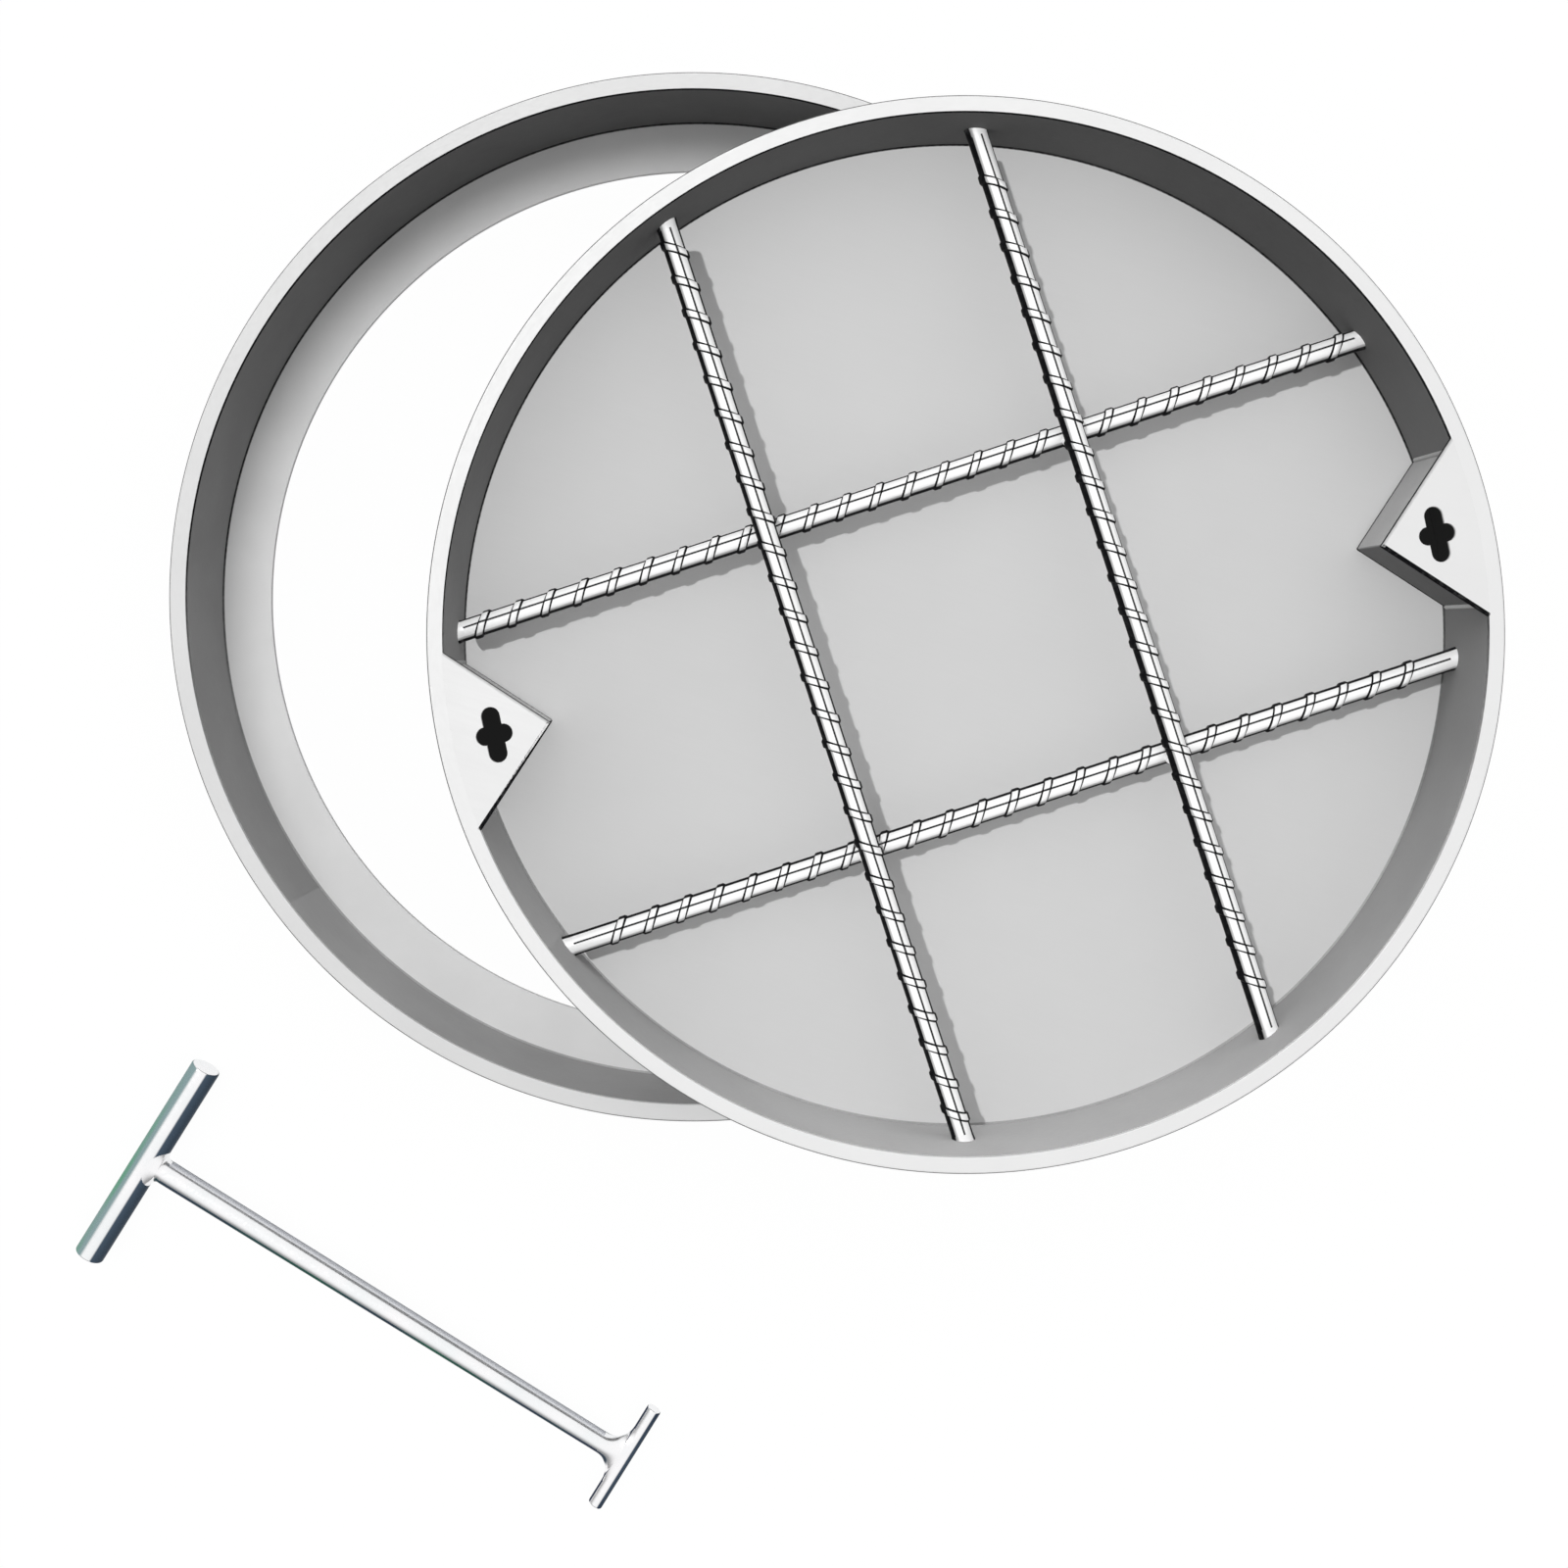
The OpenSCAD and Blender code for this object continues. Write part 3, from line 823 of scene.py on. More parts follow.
# %% Pocket sizes
KEYHOLE_INSET = 25.5 * MM
KEYHOLE_LEN = 35 * MM
KEYHOLE_W = 11.5 * MM
KEYHOLE_CROSS = 23 * MM
PLATE_R = tray_r - 0.1 * MM
PLATE_CHAMFER = 0.4 * MM
EDGE_LINE = 1.7 * MM
BESIDE_POINT = 0.5 * MM
LINE_FADE = 0.3 * MM
LID_R = tray_r + 0.45 * MM
LID_STEPS = 24
FOOT_LINE = 2.5 * MM
FOOT_FADE = 0.4 * MM
FOLD_OUTER_R = 1.2 * MM
FOLD_INNER_R = 0.3 * MM
SHEET_EDGE_R = 0.1 * MM
BREAK_EDGE = 0.05 * MM
SHEET_DARK = 0.9
POCKET_BEAD_R = 1.5 * MM
BEAD_INWARD, BEAD_ASIDE = 0.4 * MM, 0.5 * MM
KEYHOLE_STEPS = 12
SAME_POINT = 0.05 * MM
SHARPEST = 0.3
REAR_EDGE_DARK = 0.4


def at_pocket(side, x, y):
    """A point drawn for the right pocket, x along the radius, put where that side's pocket is."""
    turn = POCKET_TURN if side == "right" else POCKET_TURN + math.pi
    return (
        tray_axis[0] + x * math.cos(turn) - y * math.sin(turn),
        tray_axis[1] + x * math.sin(turn) + y * math.cos(turn),
    )


def wall_hit(start_x, limit_r):
    """Where a 45 degree line from (start_x, 0) meets the circle: its distance along x and y."""
    step = (-start_x + math.sqrt(2 * limit_r**2 - start_x**2)) / 2
    return start_x + step, step


def at_front(side, point):
    """Whether a point of a pocket is on its front side, where the sheet stands in its own shade."""
    return point[1] > 0 if side == "left" else point[1] < 0


# %% Plates from loops
def shifted_loop(loop, distance):
    """The same loop, drawn a distance further in (on its left side)."""
    moved = []
    for i, point in enumerate(loop):
        here = Vector(point)
        into = (here - Vector(loop[i - 1])).normalized()
        onward = (Vector(loop[(i + 1) % len(loop)]) - here).normalized()
        normal_a = Vector((-into[1], into[0]))
        normal_b = Vector((-onward[1], onward[0]))
        middle = (normal_a + normal_b).normalized()
        moved.append(here + middle * (distance / max(SHARPEST, middle.dot(normal_a))))
    return [(p[0], p[1]) for p in moved]


def plate_from_loops(name, outlines, side):
    """outlines: the outside and its holes, each (loop, layers). layers: (inset, height, front, rear), front
    and rear being painted shade.
    """
    points, faces, dark, ends = [], [], [], []
    for index, (loop, layers) in enumerate(outlines):
        way = 1 if index == 0 else -1
        base, count = len(points), len(loop)
        for inset, height, front_dark, rear_dark in layers:
            for square, shifted in zip(loop, shifted_loop(loop, inset * way)):
                at_rim = math.hypot(*square) > tray_r
                points.append((*at_pocket(side, *(square if at_rim else shifted)), height))
                dark.append(0.0 if at_rim else front_dark if at_front(side, square) else rear_dark)
        faces += quads(len(layers), count, base)
        ends.append((range(base, base + count), range(len(points) - count, len(points))))
    for layer in (0, 1):
        flats, places = [], []
        for numbers in (pair[layer] for pair in ends):
            flats.append([Vector((*points[n][:2], 0)) for n in numbers])
            places += numbers
        faces += [tuple(places[i] for i in triangle) for triangle in tessellate_polygon(flats)]
    return add_mesh(name, points, faces, dark)


# %% Pocket sheets
def pocket_sheet(side):
    outer_x, outer_y = wall_hit(sheet_point_r, PLATE_R)
    inner_point = sheet_point_r + SHEET / math.sin(POCKET_HALF)
    inner_x, inner_y = wall_hit(inner_point, PLATE_R)
    corners = [
        (sheet_point_r, 0, FOLD_OUTER_R),
        (outer_x, -outer_y, SHEET_EDGE_R),
        (inner_x, -inner_y, SHEET_EDGE_R),
        (inner_point, 0, FOLD_INNER_R),
        (inner_x, inner_y, SHEET_EDGE_R),
        (outer_x, outer_y, SHEET_EDGE_R),
    ]
    node_name = f"{side}_pocket_wall"
    low, high = bottom_of(node_name), top_of(node_name)
    # Painted shade: the sheet's foot is dark all round, and the left sheet's front side all the way up.
    shade = SHEET_DARK if side == "left" else 0.0
    layers = [
        (BREAK_EDGE, low, SHEET_DARK, SHEET_DARK),
        (0, low + BREAK_EDGE, SHEET_DARK, SHEET_DARK),
        (0, low + FOOT_LINE, SHEET_DARK, SHEET_DARK),
        (0, low + FOOT_LINE + FOOT_FADE, shade, 0),
        (0, high - BREAK_EDGE, shade, 0),
        (BREAK_EDGE, high, shade, 0),
    ]
    sheet = plate_from_loops(f"{side}_pocket_sheet", [(rounded_outline(corners), layers)], side)
    return dress(sheet, "cover", [node_name], pocket_steel)


# %% Key plates
def keyhole_loop():
    middle, half = tray_r - KEYHOLE_INSET, KEYHOLE_W / 2
    cross, long = KEYHOLE_CROSS / 2 - half, KEYHOLE_LEN / 2 - half
    loop = []
    for x, y, start in [(cross, 0, -90), (0, long, 0), (-cross, 0, 90), (0, -long, 180)]:
        for step in range(KEYHOLE_STEPS + 1):
            turn = math.radians(start + 180 * step / KEYHOLE_STEPS)
            point = (middle + x + half * math.cos(turn), y + half * math.sin(turn))
            if not loop or math.dist(point, loop[-1]) > SAME_POINT:
                loop.append(point)
    return loop


def key_plate(side):
    corner_x, corner_y = wall_hit(point_r, LID_R)
    near_x, near_y = wall_hit(point_r, PLATE_R)
    reach = math.atan2(corner_y, corner_x)
    past_point = point_r + BESIDE_POINT
    loop = [(past_point, BESIDE_POINT), (point_r, 0), (past_point, -BESIDE_POINT), (near_x, -near_y)]
    for step in range(LID_STEPS + 1):
        turn = -reach + 2 * reach * step / LID_STEPS
        loop.append((LID_R * math.cos(turn), LID_R * math.sin(turn)))
    loop.append((near_x, near_y))
    node_name = f"{side}_key_plate"
    low, high = bottom_of(node_name), top_of(node_name)
    # Painted shade on the plate's sides and chamfer and along its top edge at the front, fainter at the
    # rear; the keyhole's walls are dark low down.
    edge_layers = [
        (PLATE_CHAMFER, low, 1, 1),
        (0, low + PLATE_CHAMFER, 1, 1),
        (0, high - PLATE_CHAMFER, 1, 1),
        (PLATE_CHAMFER, high, 1, REAR_EDGE_DARK),
        (PLATE_CHAMFER + EDGE_LINE, high, 1, 0),
        (PLATE_CHAMFER + EDGE_LINE + LINE_FADE, high, 0, 0),
    ]
    hole_layers = [
        (PLATE_CHAMFER, low, 1, 1),
        (0, low + PLATE_CHAMFER, 1, 1),
        (0, high - PLATE_CHAMFER, 0, 0),
        (PLATE_CHAMFER * 0.5, high, 0, 0),
    ]
    outlines = [(loop, edge_layers), (keyhole_loop(), hole_layers)]
    plate = plate_from_loops(f"{side}_key_lid", outlines, side)
    return dress(plate, "cover", [node_name], plate_steel)


def pocket_beads(side):
    corner_x, corner_y = wall_hit(sheet_point_r, PLATE_R)
    node_name = f"{side}_pocket_welds"
    spots = []
    for sign in (-1, 1):
        x, y = at_pocket(side, corner_x - BEAD_INWARD, sign * (corner_y + BEAD_ASIDE))
        spots.append((x, y, 0.0))
    bead = upright_bead(f"{side}_pocket_beads", spots, node_name, POCKET_BEAD_R)
    return dress(bead, "cover", [node_name], tray_bead_steel)


pocket_sheets = [pocket_sheet(side) for side in ("left", "right")]
for side in ("left", "right"):
    key_plate(side)
    pocket_beads(side)

# %% [markdown]
# ## Ribbed bars
#
# A reinforcing bar is a round core with slanted ribs and one rib along its length. If the mesh is a
# plain grid, slanted ribs come out as stairs. So the whole grid is slanted with the ribs: every ring
# of points leans the same way, and the ribs' edges follow the grid exactly. Only the last rings turn
# square again, because the bars are cut square.

# %% Bar shape
BAR_D = 14 * MM
BAR_CLEAR = 0.2 * MM
BAR_AROUND = 72
SQUARE_END = 0.5 * MM
TURNING_END = 3 * MM
PLAIN_END = 12 * MM
RIB_H = 1.15 * MM
RIB_W = 4.7 * MM
RIB_PITCH = 22.5 * MM
RIB_LEAN = math.tan(math.radians(35))
RIB_FLANK = 1.0 * MM
RIB_LINE = 0.45 * MM
LONG_RIB_H = 0.45 * MM
LONG_RIB_TURN = math.radians(12.5)
LONG_RIB_HALF = math.radians(5)
GRID_TURN = math.radians(18)
CROSSING_CLEAR = 8 * MM
PRESSED_FROM = 0.2
LONG_LINE_FROM = 0.4
TURNING_LEAN = 0.3
RIB_EDGE_RISE = 0.7


def bar_facts(node_name, turn):
    """Two directions, the offset across, the half length and the height, from the node's box."""
    middle = middle_of(node_name)
    along = Vector((math.cos(turn), math.sin(turn)))
    across = Vector((-math.sin(turn), math.cos(turn)))
    offset = (middle.xy - tray_axis.xy).dot(across)
    half = math.sqrt((tray_r - BAR_CLEAR) ** 2 - (abs(offset) + BAR_D / 2) ** 2)
    return along, across, offset, half, middle[2]


def rib_rows(half):
    """Rings along the bar: (place, height of the rib there, how much it leans, line or not)."""
    start = [(-half, 0.0, 0.0, 0), (-half + SQUARE_END, 0.0, 0.0, 0)]
    start += [(-half + TURNING_END, 0.0, TURNING_LEAN, 0)]
    edge, flank = RIB_W / 2, RIB_FLANK / 2
    foot = edge + flank + RIB_LINE
    profile = [(foot + LINE_FADE, 0.0, 0), (foot, 0.0, 1), (edge, RIB_EDGE_RISE, 1), (edge - flank, 1.0, 0)]
    count = int((half - PLAIN_END) / RIB_PITCH)
    ribs = []
    for i in range(-count, count + 1):
        ribs += [(i * RIB_PITCH - away, rise, 1.0, line) for away, rise, line in profile]
        ribs += [(i * RIB_PITCH + away, rise, 1.0, line) for away, rise, line in reversed(profile)]
    return start + ribs + [(-place, *rest) for place, *rest in reversed(start)]


# %% [markdown]
# The painted shade on a bar follows three rules, all counted round the bar from its crown: a broad
# black band low on one flank with a grey haze above it, a hairline low on the other flank, and thin
# lines where a rib meets the core.

# %% Bar mesh
HAZE_DARK = 0.5
HAZE_WIDE = 0.15
FADE = 0.08
THIN_FROM = 0.84
LOWER_BAR_SHADE = (-1, 0.70)
UPPER_BAR_SHADE = (1, 0.56)


def painted_shade_on_bar(side, sign, line, black_from):
    """Painted shade: side is -1 on the one flank, 0 on the crown and 1 on the other; sign says which is
    dark.
    """
    shaded = side * sign
    haze = HAZE_DARK * ramp(shaded, black_from - HAZE_WIDE, black_from - HAZE_WIDE + FADE)
    black = ramp(shaded, black_from, black_from + FADE)
    return max(haze, black, 1.0 if -shaded > THIN_FROM else 0.0, float(line))


def ribbed_bar(name, node_name, turn, crossings, rests_on, dark_sign, black_from):
    along, across, offset, half, height = bar_facts(node_name, turn)
    rows = rib_rows(half)
    points, dark = [], []
    for place, rib, lean, line in rows:
        for step in range(BAR_AROUND):
            angle = 2 * math.pi * step / BAR_AROUND
            side, up = math.sin(angle), math.cos(angle)
            x = max(-half, min(half, place + lean * RIB_LEAN * side * BAR_D / 2))
            at_crossing = min(abs(x - c) for c in crossings) < CROSSING_CLEAR
            pressed = at_crossing and up * rests_on > PRESSED_FROM
            off_crown = abs(math.atan2(side * -dark_sign, up) - LONG_RIB_TURN)
            long_rib = max(0.0, 1 - off_crown / LONG_RIB_HALF)
            raised = 0.0 if pressed else max(rib * RIB_H, min(1.0, 2 * long_rib) * LONG_RIB_H)
            radius = BAR_D / 2 + (raised if lean == 1.0 else 0.0)
            spot = tray_axis.xy + along * x + across * (offset + radius * side)
            points.append((spot[0], spot[1], height + radius * up))
            on_line = (line and not pressed) or (long_rib > LONG_LINE_FROM and up > 0)
            dark.append(painted_shade_on_bar(side, dark_sign, on_line, black_from))
    bar = add_mesh(name, points, closed_tube(len(rows), BAR_AROUND), dark)
    return dress(bar, "cover", [node_name], bar_steel)


lower_turn, upper_turn = GRID_TURN, GRID_TURN + math.pi / 2
uppers = ("upper_bar_left", "upper_bar_right")
lowers = ("lower_bar_front", "lower_bar_rear")
upper_places = [-bar_facts(name, upper_turn)[2] for name in uppers]
lower_places = [bar_facts(name, lower_turn)[2] for name in lowers]
bars = [
    ribbed_bar("front_ribbed_bar", "lower_bar_front", lower_turn, upper_places, 1, *LOWER_BAR_SHADE),
    ribbed_bar("rear_ribbed_bar", "lower_bar_rear", lower_turn, upper_places, 1, *LOWER_BAR_SHADE),
    ribbed_bar("left_ribbed_bar", "upper_bar_left", upper_turn, lower_places, -1, *UPPER_BAR_SHADE),
    ribbed_bar("right_ribbed_bar", "upper_bar_right", upper_turn, lower_places, -1, *UPPER_BAR_SHADE),
]
print("bars:", [bar.name for bar in bars])

# %% [markdown]
# ## Welds at the bars' ends
#
# Each bar is welded to the rolled wall, and the wall is curved. A collar with a flat back would
# float off it on one side. So the back of each collar is laid on the wall point by point: for every
# step round the bar we work out where the wall is, and start the collar there.

# %% Bar end welds
COLLAR_RISE = 0.25 * MM
COLLAR_LEN = 1.6 * MM
COLLAR_ROWS = 5
COLLAR_AROUND = 48
COLLAR_GAP = 0.05 * MM
COLLAR_BACK = 0.1 * MM
LUMP, LUMPS = 0.18, 9


def collar(facts, end, scale):
    along, across, offset, half, height = facts
    points, dark = [], []
    for row in range(COLLAR_ROWS + 1):
        part = row / COLLAR_ROWS
        for step in range(COLLAR_AROUND):
            angle = 2 * math.pi * step / COLLAR_AROUND
            lump = 1 + LUMP * math.sin(angle * LUMPS + row)
            radius = BAR_D / 2 + COLLAR_GAP + COLLAR_RISE * (1 - part) ** 2 * lump
            lateral = offset + radius * math.sin(angle)
            on_wall = math.sqrt((tray_r - COLLAR_BACK) ** 2 - lateral**2)
            x = on_wall + (half - COLLAR_LEN - on_wall) * part
            spot = tray_axis.xy + along * (x * end) + across * lateral
            points.append((spot[0], spot[1], height + radius * math.cos(angle)))
            # The collars get the same painted shade as their bars.
            dark.append(painted_shade_on_bar(math.sin(angle), scale[0], False, scale[1]))
    return points, dark


def end_welds(name, node_name, bar_nodes, turn, end, scale):
    points, faces, dark = [], [], []
    for bar_node in bar_nodes:
        faces += closed_tube(COLLAR_ROWS + 1, COLLAR_AROUND, len(points))
        more_points, more_dark = collar(bar_facts(bar_node, turn), end, scale)
        points += more_points
        dark += more_dark
    weld = add_mesh(name, points, faces, dark)
    return dress(weld, "cover", [node_name], bar_bead_steel)


collars = [
    end_welds("upper_rear_collars", "upper_bar_rear_welds", uppers, upper_turn, 1, UPPER_BAR_SHADE),
    end_welds("upper_front_collars", "upper_bar_front_welds", uppers, upper_turn, -1, UPPER_BAR_SHADE),
    end_welds("lower_left_collars", "lower_bar_left_welds", lowers, lower_turn, -1, LOWER_BAR_SHADE),
    end_welds("lower_right_collars", "lower_bar_right_welds", lowers, lower_turn, 1, LOWER_BAR_SHADE),
]

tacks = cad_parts["bar_crossing_welds"]
tacks.data.materials.clear()
tacks.data.materials.append(bar_bead_steel)

# %% [markdown]
# ## The lifting key
#
# The key is three bars: a handle, a tapered shank and a tip bar, and the joints are ground smooth.
# Everything on it is drawn in the key's own frame, with the shank along x, and then laid down where
# the key lies.

# %% Key frame and sizes
KEY_LEN = 397 * MM
HANDLE_LEN = 156 * MM
HANDLE_D = 21 * MM
SHANK_TOP_D = 17 * MM
SHANK_TIP_D = 14.5 * MM
TIP_LEN = 80 * MM
TIP_D = 10.5 * MM
KEY_TURN = math.radians(-32)
KEY_PLACE = Vector((-389.5 * MM, -397 * MM, HANDLE_D / 2))
KEY_TILT = math.asin((HANDLE_D - SHANK_TIP_D) / 2 / KEY_LEN)
KEY_END_R = 1.2 * MM
KEY_AROUND = 64
SHANK_ROWS = 40
X_WAY = Vector((1, 0, 0))
Y_WAY = Vector((0, 1, 0))

key_frame = (
    Matrix.Translation(KEY_PLACE)
    @ Matrix.Rotation(KEY_TURN, 4, "Z")
    @ Matrix.Rotation(KEY_TILT, 4, "Y")
)
shank_way = Vector((math.cos(KEY_TURN), math.sin(KEY_TURN), 0))
handle_way = Vector((-math.sin(KEY_TURN), math.cos(KEY_TURN), 0))


def shank_radius(x):
    return (SHANK_TOP_D + (SHANK_TIP_D - SHANK_TOP_D) * x / KEY_LEN) / 2


# %% Stacks of ellipses
def stack(name, sections):
    """sections: (place, half width, half height, direction, power, base).

    Power 1 and base 0 is a plain ellipse. A base is the half height that is left at the sides.
    """
    points = []
    for centre, wide, high, wide_way, power, base in sections:
        for step in range(KEY_AROUND):
            turn = 2 * math.pi * step / KEY_AROUND
            swell = base + (high - base) * abs(math.sin(turn)) ** power
            rise = math.copysign(swell, math.sin(turn))
            points.append(key_frame @ (centre + wide_way * (wide * math.cos(turn)) + Vector((0, 0, rise))))
    return add_mesh(name, points, closed_tube(len(sections), KEY_AROUND))


def cross_bar(name, x, diameter, length):
    radius, half = diameter / 2, length / 2
    shape = [(half - KEY_END_R - SUPPORT, radius)]
    for step in range(ARC_STEPS + 1):
        turn = math.pi / 2 * step / ARC_STEPS
        shape.append((half - KEY_END_R * (1 - math.sin(turn)), radius - KEY_END_R * (1 - math.cos(turn))))
    full = [(-y, r) for y, r in reversed(shape)] + shape
    return stack(name, [(Vector((x, y, 0)), r, r, X_WAY, 1, 0) for y, r in full])


# %% Key materials
def leaning(way, degrees):
    """The way, turned down by some degrees. The painted reflections are laid along this leaning way."""
    turn = math.radians(degrees)
    return way * math.cos(turn) - Vector((0, 0, math.sin(turn)))


across_handle = leaning(shank_way, 8.6)
across_shank = leaning(handle_way, 24)
across_tip = leaning(shank_way, -9.8)
# Painted reflections on each zinc piece: (direction, where it starts, where it is full, two tints).
handle_reflections = [
    (-across_handle, 0.36, 0.56, REFLECTED_GREY, REFLECTED_GREY),
    (-across_handle, 0.62, 0.86, REFLECTED_GREEN, REFLECTED_GREY),
    (across_handle, 0.18, 0.32, REFLECTED_SLATE, REFLECTED_SLATE),
]
shank_reflections = [
    (across_shank, 0.25, 0.95, REFLECTED_PEARL, REFLECTED_PEARL),
    (across_shank, 0.95, 1.0, REFLECTED_SLATE, REFLECTED_GREY),
    (-across_shank, 0.66, 0.84, REFLECTED_DARK_GREEN, REFLECTED_NAVY),
]
tip_reflections = [
    (across_tip, 0.40, 0.56, REFLECTED_NAVY, REFLECTED_SLATE),
    (-across_tip, 0.62, 0.80, REFLECTED_NAVY, REFLECTED_NAVY),
]
flare_reflections = [
    (across_shank, 0.90, 1.0, REFLECTED_SLATE, REFLECTED_GREY),
    (-across_shank, 0.70, 0.88, REFLECTED_DARK_GREEN, REFLECTED_NAVY),
    (-across_tip, 0.66, 0.84, REFLECTED_NAVY, REFLECTED_NAVY),
]
handle_zinc = zinc("handle_zinc", handle_reflections)
shank_zinc = zinc("shank_zinc", shank_reflections)
tip_zinc = zinc("tip_zinc", tip_reflections)
flare_zinc = zinc("flare_zinc", flare_reflections)

# %% [markdown]
# The flares are stacks of ellipses too. Their width follows a quarter circle out to the cross bar,
# and their height goes over from the bar's to the shank's.

# %% Flares
HANDLE_FLARE = 5 * MM
TIP_FLARE = 15 * MM
FLARE_STEPS = 16
INSIDE_STEPS = 10
JUST_INSIDE = 0.985


def smooth_step(part):
    return part * part * (3 - 2 * part)


def flare(name, start, way, bar_r, flare_r):
    """A flare from the bar's axis at start out to the plain shank. way is 1 or -1 along x."""
    sections = []

    def section(apart, wide, power, base):
        x = start + way * apart
        bar_high = bar_r * (JUST_INSIDE + 1) / 2
        high = bar_high + (shank_radius(x) - bar_high) * smooth_step(apart / (bar_r + flare_r))
        sections.append((Vector((x, 0, 0)), wide, high, Y_WAY, power, base))

    for step in range(INSIDE_STEPS):
        apart = bar_r * math.sin(math.pi / 2 * step / INSIDE_STEPS)
        left = JUST_INSIDE * math.sqrt(bar_r**2 - apart**2)
        section(apart, shank_radius(start) + flare_r, 2 + 6 * (1 - apart / bar_r), left)
    for step in range(FLARE_STEPS + 1):
        out = flare_r * (1 - math.cos(math.pi / 2 * step / FLARE_STEPS))
        plain = shank_radius(start + way * (bar_r + out))
        wide = plain + flare_r - math.sqrt(max(0.0, flare_r**2 - (flare_r - out) ** 2))
        section(bar_r + out, wide, 2 - smooth_step(out / flare_r), 0)
    return stack(name, sections)


# %% Key pieces
handle = cross_bar("zinc_handle", 0, HANDLE_D, HANDLE_LEN)
dress(handle, "key", ["key_handle"], handle_zinc)
tip_bar = cross_bar("zinc_tip_bar", KEY_LEN, TIP_D, TIP_LEN)
dress(tip_bar, "key", ["key_tip_bar"], tip_zinc)

shank_from = HANDLE_D / 2 + HANDLE_FLARE
shank_to = KEY_LEN - TIP_D / 2 - TIP_FLARE
shank_rows = []
for row in range(SHANK_ROWS + 1):
    x = shank_from + (shank_to - shank_from) * row / SHANK_ROWS
    shank_rows.append((Vector((x, 0, 0)), shank_radius(x), shank_radius(x), Y_WAY, 1, 0))
shank = stack("zinc_shank", shank_rows)
dress(shank, "key", ["key_shank"], shank_zinc)

handle_flare = flare("zinc_handle_flare", 0, 1, HANDLE_D / 2, HANDLE_FLARE)
dress(handle_flare, "key", ["key_handle_weld"], flare_zinc)
tip_flare = flare("zinc_tip_flare", KEY_LEN, -1, TIP_D / 2, TIP_FLARE)
dress(tip_flare, "key", ["key_tip_weld"], flare_zinc)

# %% [markdown]
# ## Floor and surroundings
#
# The picture has a plain white background. If we lit a white floor until it burnt out, the object
# would burn out with it. Instead the floor gives off a little of its own white where the camera or a
# mirror-like surface looks at it, and the rest of it is an ordinary matt floor that keeps the
# object's soft shadow.

# %% Floor
FLOOR_HALF = 6.0
FLOOR_GLOW = 0.9
FLOOR_WHITE = 1.07
FLOOR_GREY = 0.8


def mix_shaders(tree, share, first, second):
    return node(tree, "ShaderNodeMixShader", {0: share, 1: first.outputs[0], 2: second.outputs[0]})


def white_floor():
    material = bpy.data.materials.new("white_floor")
    material.use_nodes = True
    tree = material.node_tree
    tree.nodes.clear()
    path = node(tree, "ShaderNodeLightPath").outputs
    seen = math_node(tree, "MAXIMUM", path["Is Camera Ray"], path["Is Glossy Ray"])
    seen = math_node(tree, "MAXIMUM", seen, path["Is Transmission Ray"])
    matt = node(tree, "ShaderNodeBsdfDiffuse", {"Color": grey(FLOOR_GREY)})
    glow = node(tree, "ShaderNodeEmission", {"Color": grey(1.0), "Strength": FLOOR_WHITE})
    mixed = mix_shaders(tree, math_node(tree, "MULTIPLY", seen, FLOOR_GLOW), matt, glow)
    node(tree, "ShaderNodeOutputMaterial", {"Surface": mixed.outputs[0]})
    return material


floor_corners = [(-1, -1), (1, -1), (1, 1), (-1, 1)]
floor_mesh = bpy.data.meshes.new("floor")
floor_mesh.from_pydata([(x * FLOOR_HALF, y * FLOOR_HALF, 0) for x, y in floor_corners], [], [(0, 1, 2, 3)])
floor = bpy.data.objects.new("floor", floor_mesh)
bpy.context.collection.objects.link(floor)
floor_mesh.materials.append(white_floor())

# %% [markdown]
# The world does two jobs. For matt light it is a faint even sky. For reflections it is a bright
# ceiling that falls off towards one side of the horizon, so that round steel gets a dark edge there
# and reads as round.

# %% World
SKY_LIGHT = 0.50
CEILING_WAY = (0.15, 0.25, 0.9)
CEILING_FROM, CEILING_TO = -0.1, 0.7
CEILING_DARKEST = 0.25


def background(tree, strength):
    return node(tree, "ShaderNodeBackground", {"Color": grey(1.0), "Strength": strength})


def studio_world():
    world = bpy.data.worlds.new("studio")
    bpy.context.scene.world = world
    world.use_nodes = True
    tree = world.node_tree
    tree.nodes.clear()
    way = node(tree, "ShaderNodeTexCoord").outputs["Generated"]
    height = vector_node(tree, "DOT_PRODUCT", way, CEILING_WAY).outputs["Value"]
    ceiling = between(tree, height, CEILING_FROM, CEILING_TO, CEILING_DARKEST, 1.0)
    path = node(tree, "ShaderNodeLightPath").outputs
    lit = mix_shaders(tree, path["Is Glossy Ray"], background(tree, SKY_LIGHT), background(tree, ceiling))
    seen = mix_shaders(tree, path["Is Camera Ray"], lit, background(tree, 1.0))
    node(tree, "ShaderNodeOutputWorld", {"Surface": seen.outputs[0]})


studio_world()

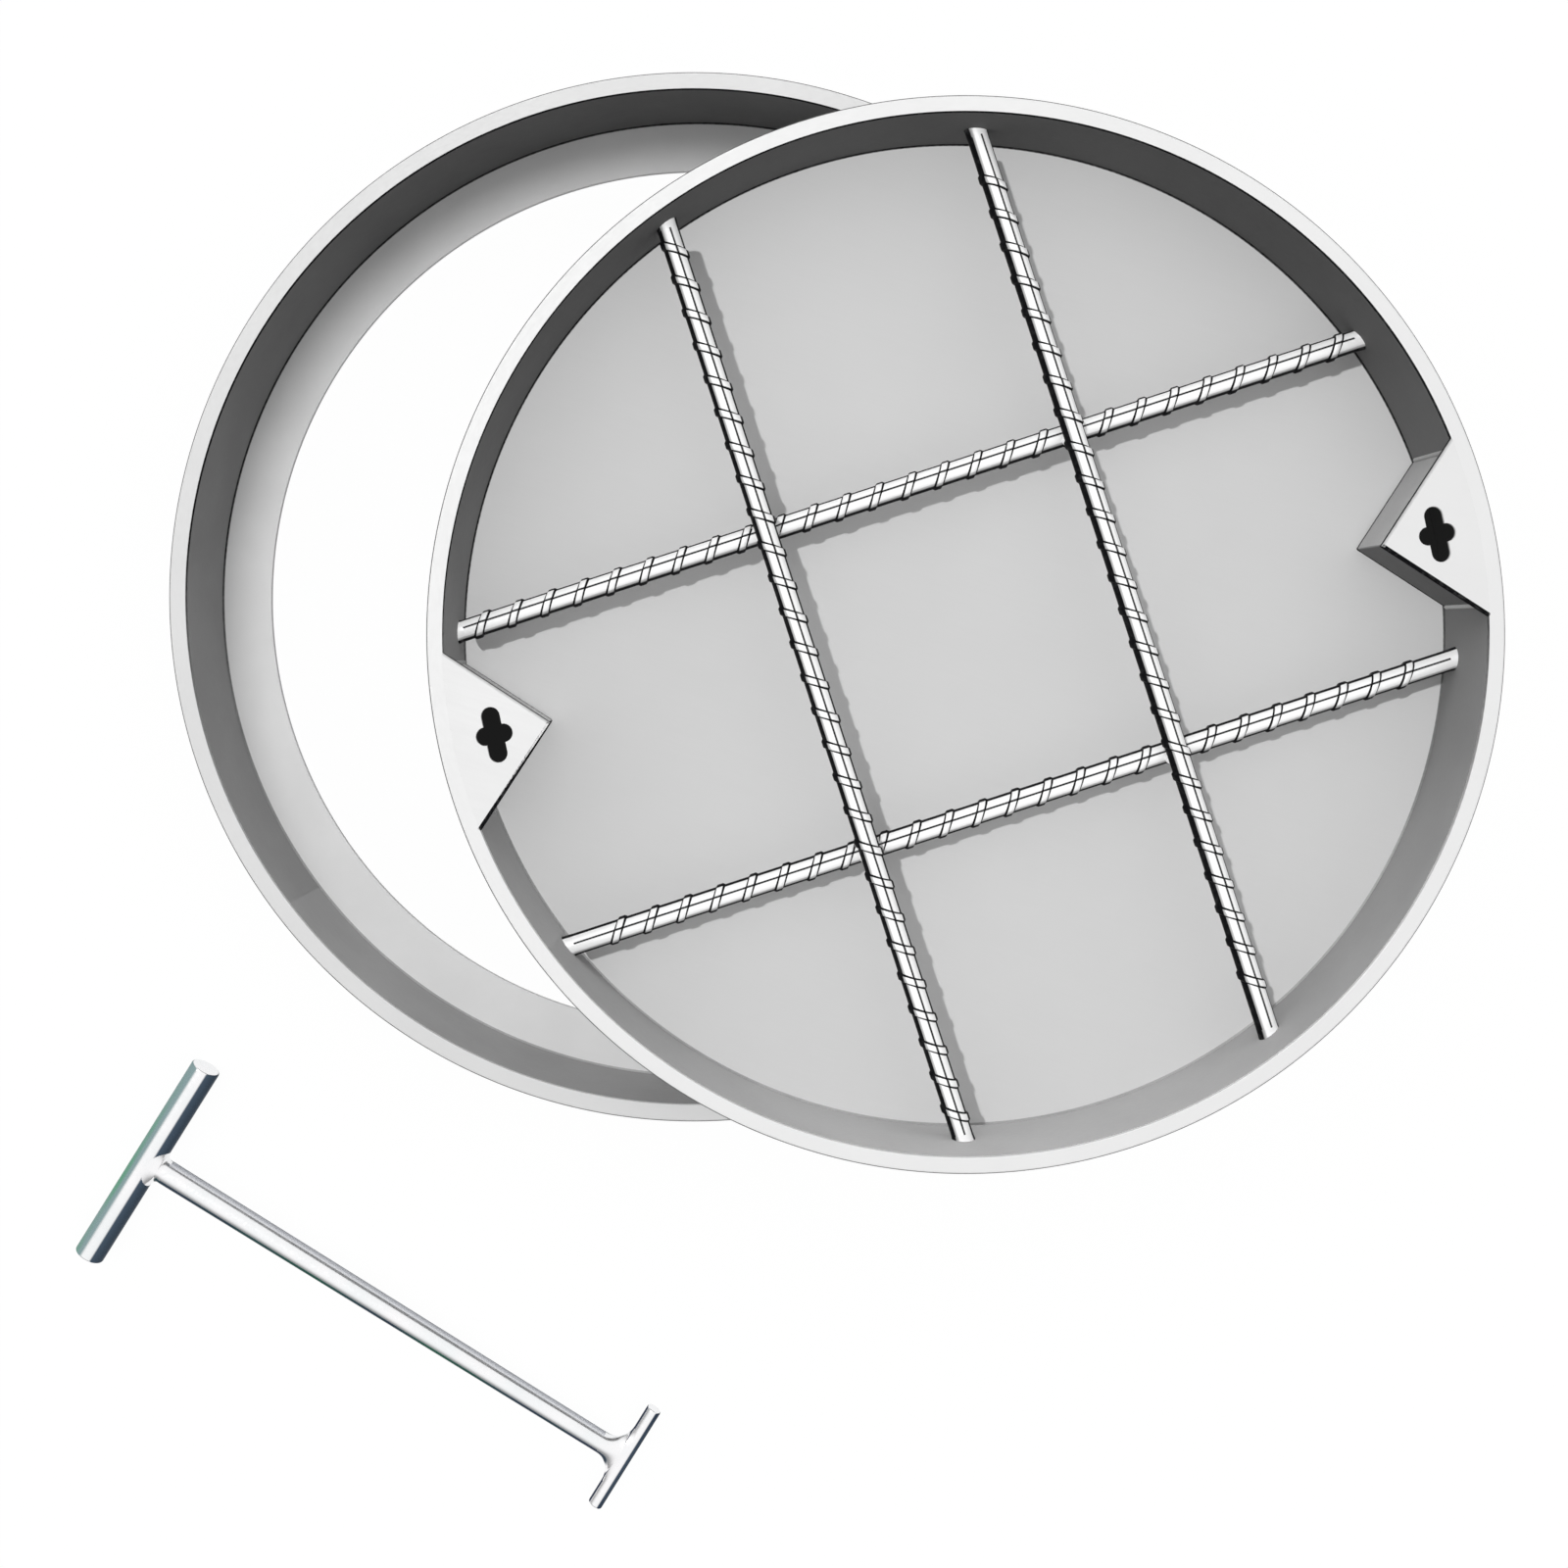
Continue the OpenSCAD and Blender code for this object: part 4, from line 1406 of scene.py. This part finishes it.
# %% [markdown]
# ## Lamps
#
# Five suns light the steel, and light linking says what each one reaches. The first comes from the
# upper left and throws the bars' sharp shadows on the tray. In the picture nothing else throws a
# shadow there, so only the bars block it. The second lights the frame and is soft: its wall shades
# the ledge beside it, more at the rear. The others are very broad and throw no shadows. Two stand
# low at the rear and shape the walls: bright where they face it, dark where they face away. The last
# comes from straight above and keeps the bars white.

# %% Suns
KEY_FROM = Vector((-0.42, 0.355, 1.0))
KEY_STRENGTH, KEY_SPREAD = 1.5, 2.5
FRAME_FROM = Vector((-0.08, 0.45, 1.0))
FRAME_STRENGTH, FRAME_SPREAD = 1.55, 35
TRAY_WALL_FROM = Vector((-0.06, 0.96, 0.25))
TRAY_WALL_STRENGTH = 13.5
FRAME_WALL_FROM = Vector((0.25, 0.92, 0.25))
FRAME_WALL_STRENGTH = 7.2
BAR_FROM = Vector((0, 0, 1))
BAR_STRENGTH = 0.75
BROAD_SPREAD = 100


def collection_of(name, pieces):
    made = bpy.data.collections.new(name)
    for piece in pieces:
        made.objects.link(piece)
    return made


def sun(name, light_from, strength, spread, reaches):
    data = bpy.data.lights.new(name, "SUN")
    data.energy = strength
    data.angle = math.radians(spread)
    made = bpy.data.objects.new(name, data)
    made.rotation_mode = "QUATERNION"
    made.rotation_quaternion = light_from.to_track_quat("Z", "Y")
    bpy.context.collection.objects.link(made)
    made.light_linking.receiver_collection = collection_of("lit_by_" + name, reaches)
    return made


upper_pieces = dressed["cover"] + dressed["key"] + [tacks]
key_sun = sun("key_sun", KEY_FROM, KEY_STRENGTH, KEY_SPREAD, upper_pieces)
key_sun.light_linking.blocker_collection = collection_of("bars_in_key_sun", bars)

frame_sun = sun("frame_sun", FRAME_FROM, FRAME_STRENGTH, FRAME_SPREAD, dressed["frame"])
frame_sun.light_linking.blocker_collection = collection_of("walls_in_frame_sun", [frame_wall, frame_rim])

broad_suns = [
    ("frame_wall_sun", FRAME_WALL_FROM, FRAME_WALL_STRENGTH, [frame_wall]),
    ("tray_wall_sun", TRAY_WALL_FROM, TRAY_WALL_STRENGTH, [tray_wall, *pocket_sheets]),
    ("bar_sun", BAR_FROM, BAR_STRENGTH, [*bars, *collars, tacks]),
]
for name, light_from, strength, reaches in broad_suns:
    sun(name, light_from, strength, BROAD_SPREAD, reaches).data.use_shadow = False

bpy.context.scene.view_settings.view_transform = "Standard"
